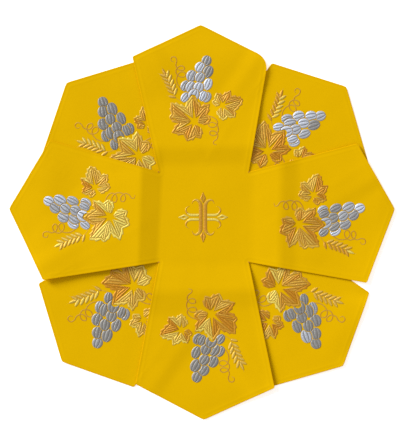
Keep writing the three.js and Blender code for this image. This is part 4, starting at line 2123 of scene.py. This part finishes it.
SILVER = ThreadFinish(
    name="silver_thread", hollow_shade=(0.155, 0.165, 0.195, 1.0),
    dull_hollow_shade=(0.255, 0.24, 0.215, 1.0), dark=(0.24, 0.229, 0.216, 1.0), sheen_highlight=(0.6, 0.64, 0.74, 1.0),
)
GOLD = ThreadFinish(
    name="gold_thread", hollow_shade=(0.36, 0.16, 0.006, 1.0),
    dull_hollow_shade=(0.45, 0.19, 0.006, 1.0), dark=(0.54, 0.23, 0.012, 1.0),
    sheen_highlight=(0.785, 0.635, 0.125, 1.0),
)


@dataclass(frozen=True)
class Studio:
    """A pale floor, a soft key light from the left and light all round, in metres and degrees."""

    floor_half: float = 2.2
    floor_level: float = -0.0004
    fill: float = 0.58
    fill_colour: Colour = (1.0, 0.965, 0.93, 1.0)
    key: float = 4.3
    key_colour: tuple[float, float, float] = (0.95, 1.0, 1.04)
    key_height: float = 25.0
    key_from: float = 142.0
    floor_glow: float = 0.45
    key_width: float = 26.0
    camera_at: tuple[float, float, float] = (0.00906, 0.00036, 1.52)
    lens: float = 85.0
    film: float = 36.0

    def build(self) -> None:
        """Makes the floor, the lights and the camera."""
        half = self.floor_half
        mesh = bpy.data.meshes.new("studio_floor")
        plan = ((-half, -half), (half, -half), (half, half), (-half, half))
        mesh.from_pydata([(x, y, self.floor_level) for x, y in plan], [], [(0, 1, 2, 3)])
        floor = shown("studio_floor", mesh)
        mesh.materials.append(self.floor_material())
        world = bpy.data.worlds.new("studio_light")
        world.use_nodes = True
        background = world.node_tree.nodes["Background"]
        background.inputs["Color"].default_value = self.fill_colour
        background.inputs["Strength"].default_value = self.fill
        bpy.context.scene.world = world
        light = bpy.data.lights.new("key_light", "SUN")
        light.energy = self.key
        light.color = self.key_colour
        light.angle = math.radians(self.key_width)
        key = shown("key_light", light)
        flat = polar(self.key_from, math.cos(math.radians(self.key_height)))
        toward = Vector((flat[0], flat[1], math.sin(math.radians(self.key_height))))
        key.rotation_euler = toward.to_track_quat("Z", "Y").to_euler()
        lens = bpy.data.cameras.new("camera")
        lens.lens = self.lens
        lens.sensor_width = self.film
        camera = shown("camera", lens)
        camera.location = self.camera_at
        bpy.context.scene.camera = camera
        bpy.context.scene.view_settings.view_transform = "Standard"

    def floor_material(self) -> Material:
        """The floor's material, near white paper with a faint grain.

        Returns:
            The material.
        """
        made, sheet = new_material("pale_floor")
        mottle = sheet.effect(Effect.MOTTLE, {"Strength": 0.015})
        grey = sheet.grey(sheet.math("MULTIPLY", mottle.outputs["Shade"], 0.96))
        sheet.surface(
            {
                "Base Color": grey,
                "Roughness": 0.8,
                "Specular IOR Level": 0.1,
                "Emission Color": (1.0, 1.0, 1.0, 1.0),
                "Emission Strength": self.floor_glow,
            }
        )
        return made


@dataclass(frozen=True)
class SprayRow:
    """One row of the table of sprays.

    Attributes:
        name, turn: The flap that carries it, and that flap's direction.
        along, across: How far out, and to the left of the flap's middle line, the big leaf's veins meet.
        lean, size: How much the spray is turned against the flap, and its size.
        big, small: The painted sheen of each field of the big and the small leaf, from the tip round to the
            left.
        silver, odd_grapes: The painted sheen of the grapes, and of those that differ, by number.
        wheat: The painted sheen of the ear's left grains, right grains and last grain.
    """

    name: str
    turn: float
    along: float
    across: float
    lean: float
    size: float
    big: tuple[float, ...]
    small: tuple[float, ...]
    silver: float
    wheat: tuple[float, float, float] = (0.3, 0.55, 0.45)
    odd_grapes: tuple[tuple[int, float], ...] = ()
    mirrored: bool = False


# Each spray's name, turn, along, across, lean and size come first.
# The big, small, silver, wheat and odd_grapes columns are painted sheen, set for how each part's stitches lie
# to the light.
SPRAYS = (
    SprayRow(
        "right", 0, 137.6, -10.1, 2.2, 0.976,
        big=(0.1, 0.3, 0.15, 0.2, 0.2, 0.1), small=(0.05, 0.05, 0.15, 0.35, 0.45), silver=0.05,
        wheat=(0.25, 0.25, 0.85),
        odd_grapes=((0, 0.5), (5, 0.9), (7, 0.3), (8, 0.15), (9, 0.4), (11, 1.0), (12, 0.35)),
        mirrored=True,
    ),
    SprayRow(
        "top", 90, 138.3, 13.4, 1.1, 0.963,
        big=(0.45, 0.3, 0.1, 0.12, 0.2, 0.1), small=(0.05, 0.15, 0.55, 0.5, 0.3), silver=0.75,
        wheat=(0.3, 0.65, 0.3),
        odd_grapes=(
            *((2, 0.6), (4, 0.6), (5, 0.35), (6, 0.95), (7, 0.4), (8, 0.4)),
            *((9, 0.0), (11, 0.1), (12, 0.4)),
        ),
    ),
    SprayRow(
        "left", 180, 135.5, -0.7, -1.8, 0.983,
        big=(0.3, 0.85, 0.95, 0.8, 0.95, 0.3), small=(0.55, 0.05, 0.35, 0.4, 0.4), silver=0.4,
        wheat=(0.5, 0.5, 0.85),
        odd_grapes=((0, 0.8), (2, 0.6), (3, 0.3), (5, 0.9), (9, 0.7), (10, 0.3), (11, 0.9), (12, 0.55)),
    ),
    SprayRow(
        "bottom", 270, 140.0, 10.7, -0.3, 1.008,
        big=(0.0, 0.05, 0.35, 0.1, 0.2, 0.65), small=(0.6, 0.6, 0.15, 0.5, 0.0), silver=0.0,
        wheat=(0.4, 0.6, 0.5),
    ),
    SprayRow(
        "upper_right", 45, 139.5, 11.4, 1.1, 0.984,
        big=(0.15, 0.3, 0.05, 0.1, 0.0, 0.0), small=(0.3, 0.05, 0.45, 0.3, 0.2), silver=0.75,
        wheat=(0.2, 0.6, 0.2), odd_grapes=((3, 0.5), (4, 0.5), (5, 0.4), (6, 0.45), (9, 0.0), (11, 0.5)),
    ),
    SprayRow(
        "upper_left", 135, 139.3, -3.1, 1.4, 0.997,
        big=(0.35, 0.35, 0.4, 0.7, 0.3, 0.6), small=(0.3, 0.3, 0.15, 0.3, 0.3), silver=0.03,
        wheat=(0.3, 0.7, 0.5), odd_grapes=((5, 0.15),),
    ),
    SprayRow(
        "lower_left", 225, 136.0, -10.3, -0.1, 1.045,
        big=(0.0, 0.1, 0.5, 0.65, 0.4, 0.5), small=(0.3, 0.55, 0.45, 0.3, 0.3), silver=0.03,
        wheat=(0.4, 0.65, 0.5), odd_grapes=((5, 0.25), (11, 0.15), (12, 0.25)), mirrored=True,
    ),
    SprayRow(
        "lower_right", 315, 140.1, 10.3, 1.3, 1.035,
        big=(0.05, 0.2, 0.6, 0.0, 0.85, 0.05), small=(0.3, 0.0, 0.25, 0.05, 0.0), silver=0.12,
        wheat=(0.3, 0.4, 0.4), odd_grapes=((5, 0.4), (9, 0.65)),
    ),
)


def finish_piece(piece: Object, material: Material, slot: str) -> None:
    """Dresses a piece with its material and attaches it to the root.

    Args:
        piece: The piece.
        material: Its material.
        slot: The record's slot; not used.
    """
    piece.data.materials.append(material)
    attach(piece, "root")


def main() -> None:
    """Builds the veil and the studio."""
    logging.basicConfig(level=logging.INFO, format="%(name)s: %(message)s")
    Studio().build()
    veil = Veil()
    satin, silver, gold = SatinFinish().material(), SILVER.material(), GOLD.material()
    carried: dict[str, list[Object]] = {veil.upper.name: [], veil.lower.name: []}
    for number, row in enumerate(SPRAYS):
        cloth = veil.upper if row.turn in QUARTERS else veil.lower
        spray = Spray(row, cloth, veil, SPRAY_SEED + number)
        grapes, leaves = spray.build_grapes(), spray.build_leaves()
        finish_piece(grapes, silver, SILVER.name)
        finish_piece(leaves, gold, GOLD.name)
        carried[cloth.name] += [grapes, leaves]
    cross = CentreCross(tuple(veil.upper.origin + CROSS_OFF)).build(veil)
    stitching = SquareStitching().build(veil)
    for piece in (cross, stitching):
        finish_piece(piece, gold, GOLD.name)
        carried[veil.upper.name].append(piece)
    for cloth, rests_on in ((veil.lower, []), (veil.upper, ["lower_cloth_satin"])):
        piece = cloth.build()
        finish_piece(piece, satin, "satin")
        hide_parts(cloth.node)
        outline = cloth.outline()
        x, y = outline.T
        area = 0.5 * abs(np.dot(x, np.roll(y, -1)) - np.dot(y, np.roll(x, -1))) * MM * MM
        on_it = carried[cloth.name]
        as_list(rests_on)
        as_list(on_it)
        LOG.info("%s: %d faces, %.4f m2", piece.name, len(piece.data.polygons), area)


if __name__ == "__main__":
    main()
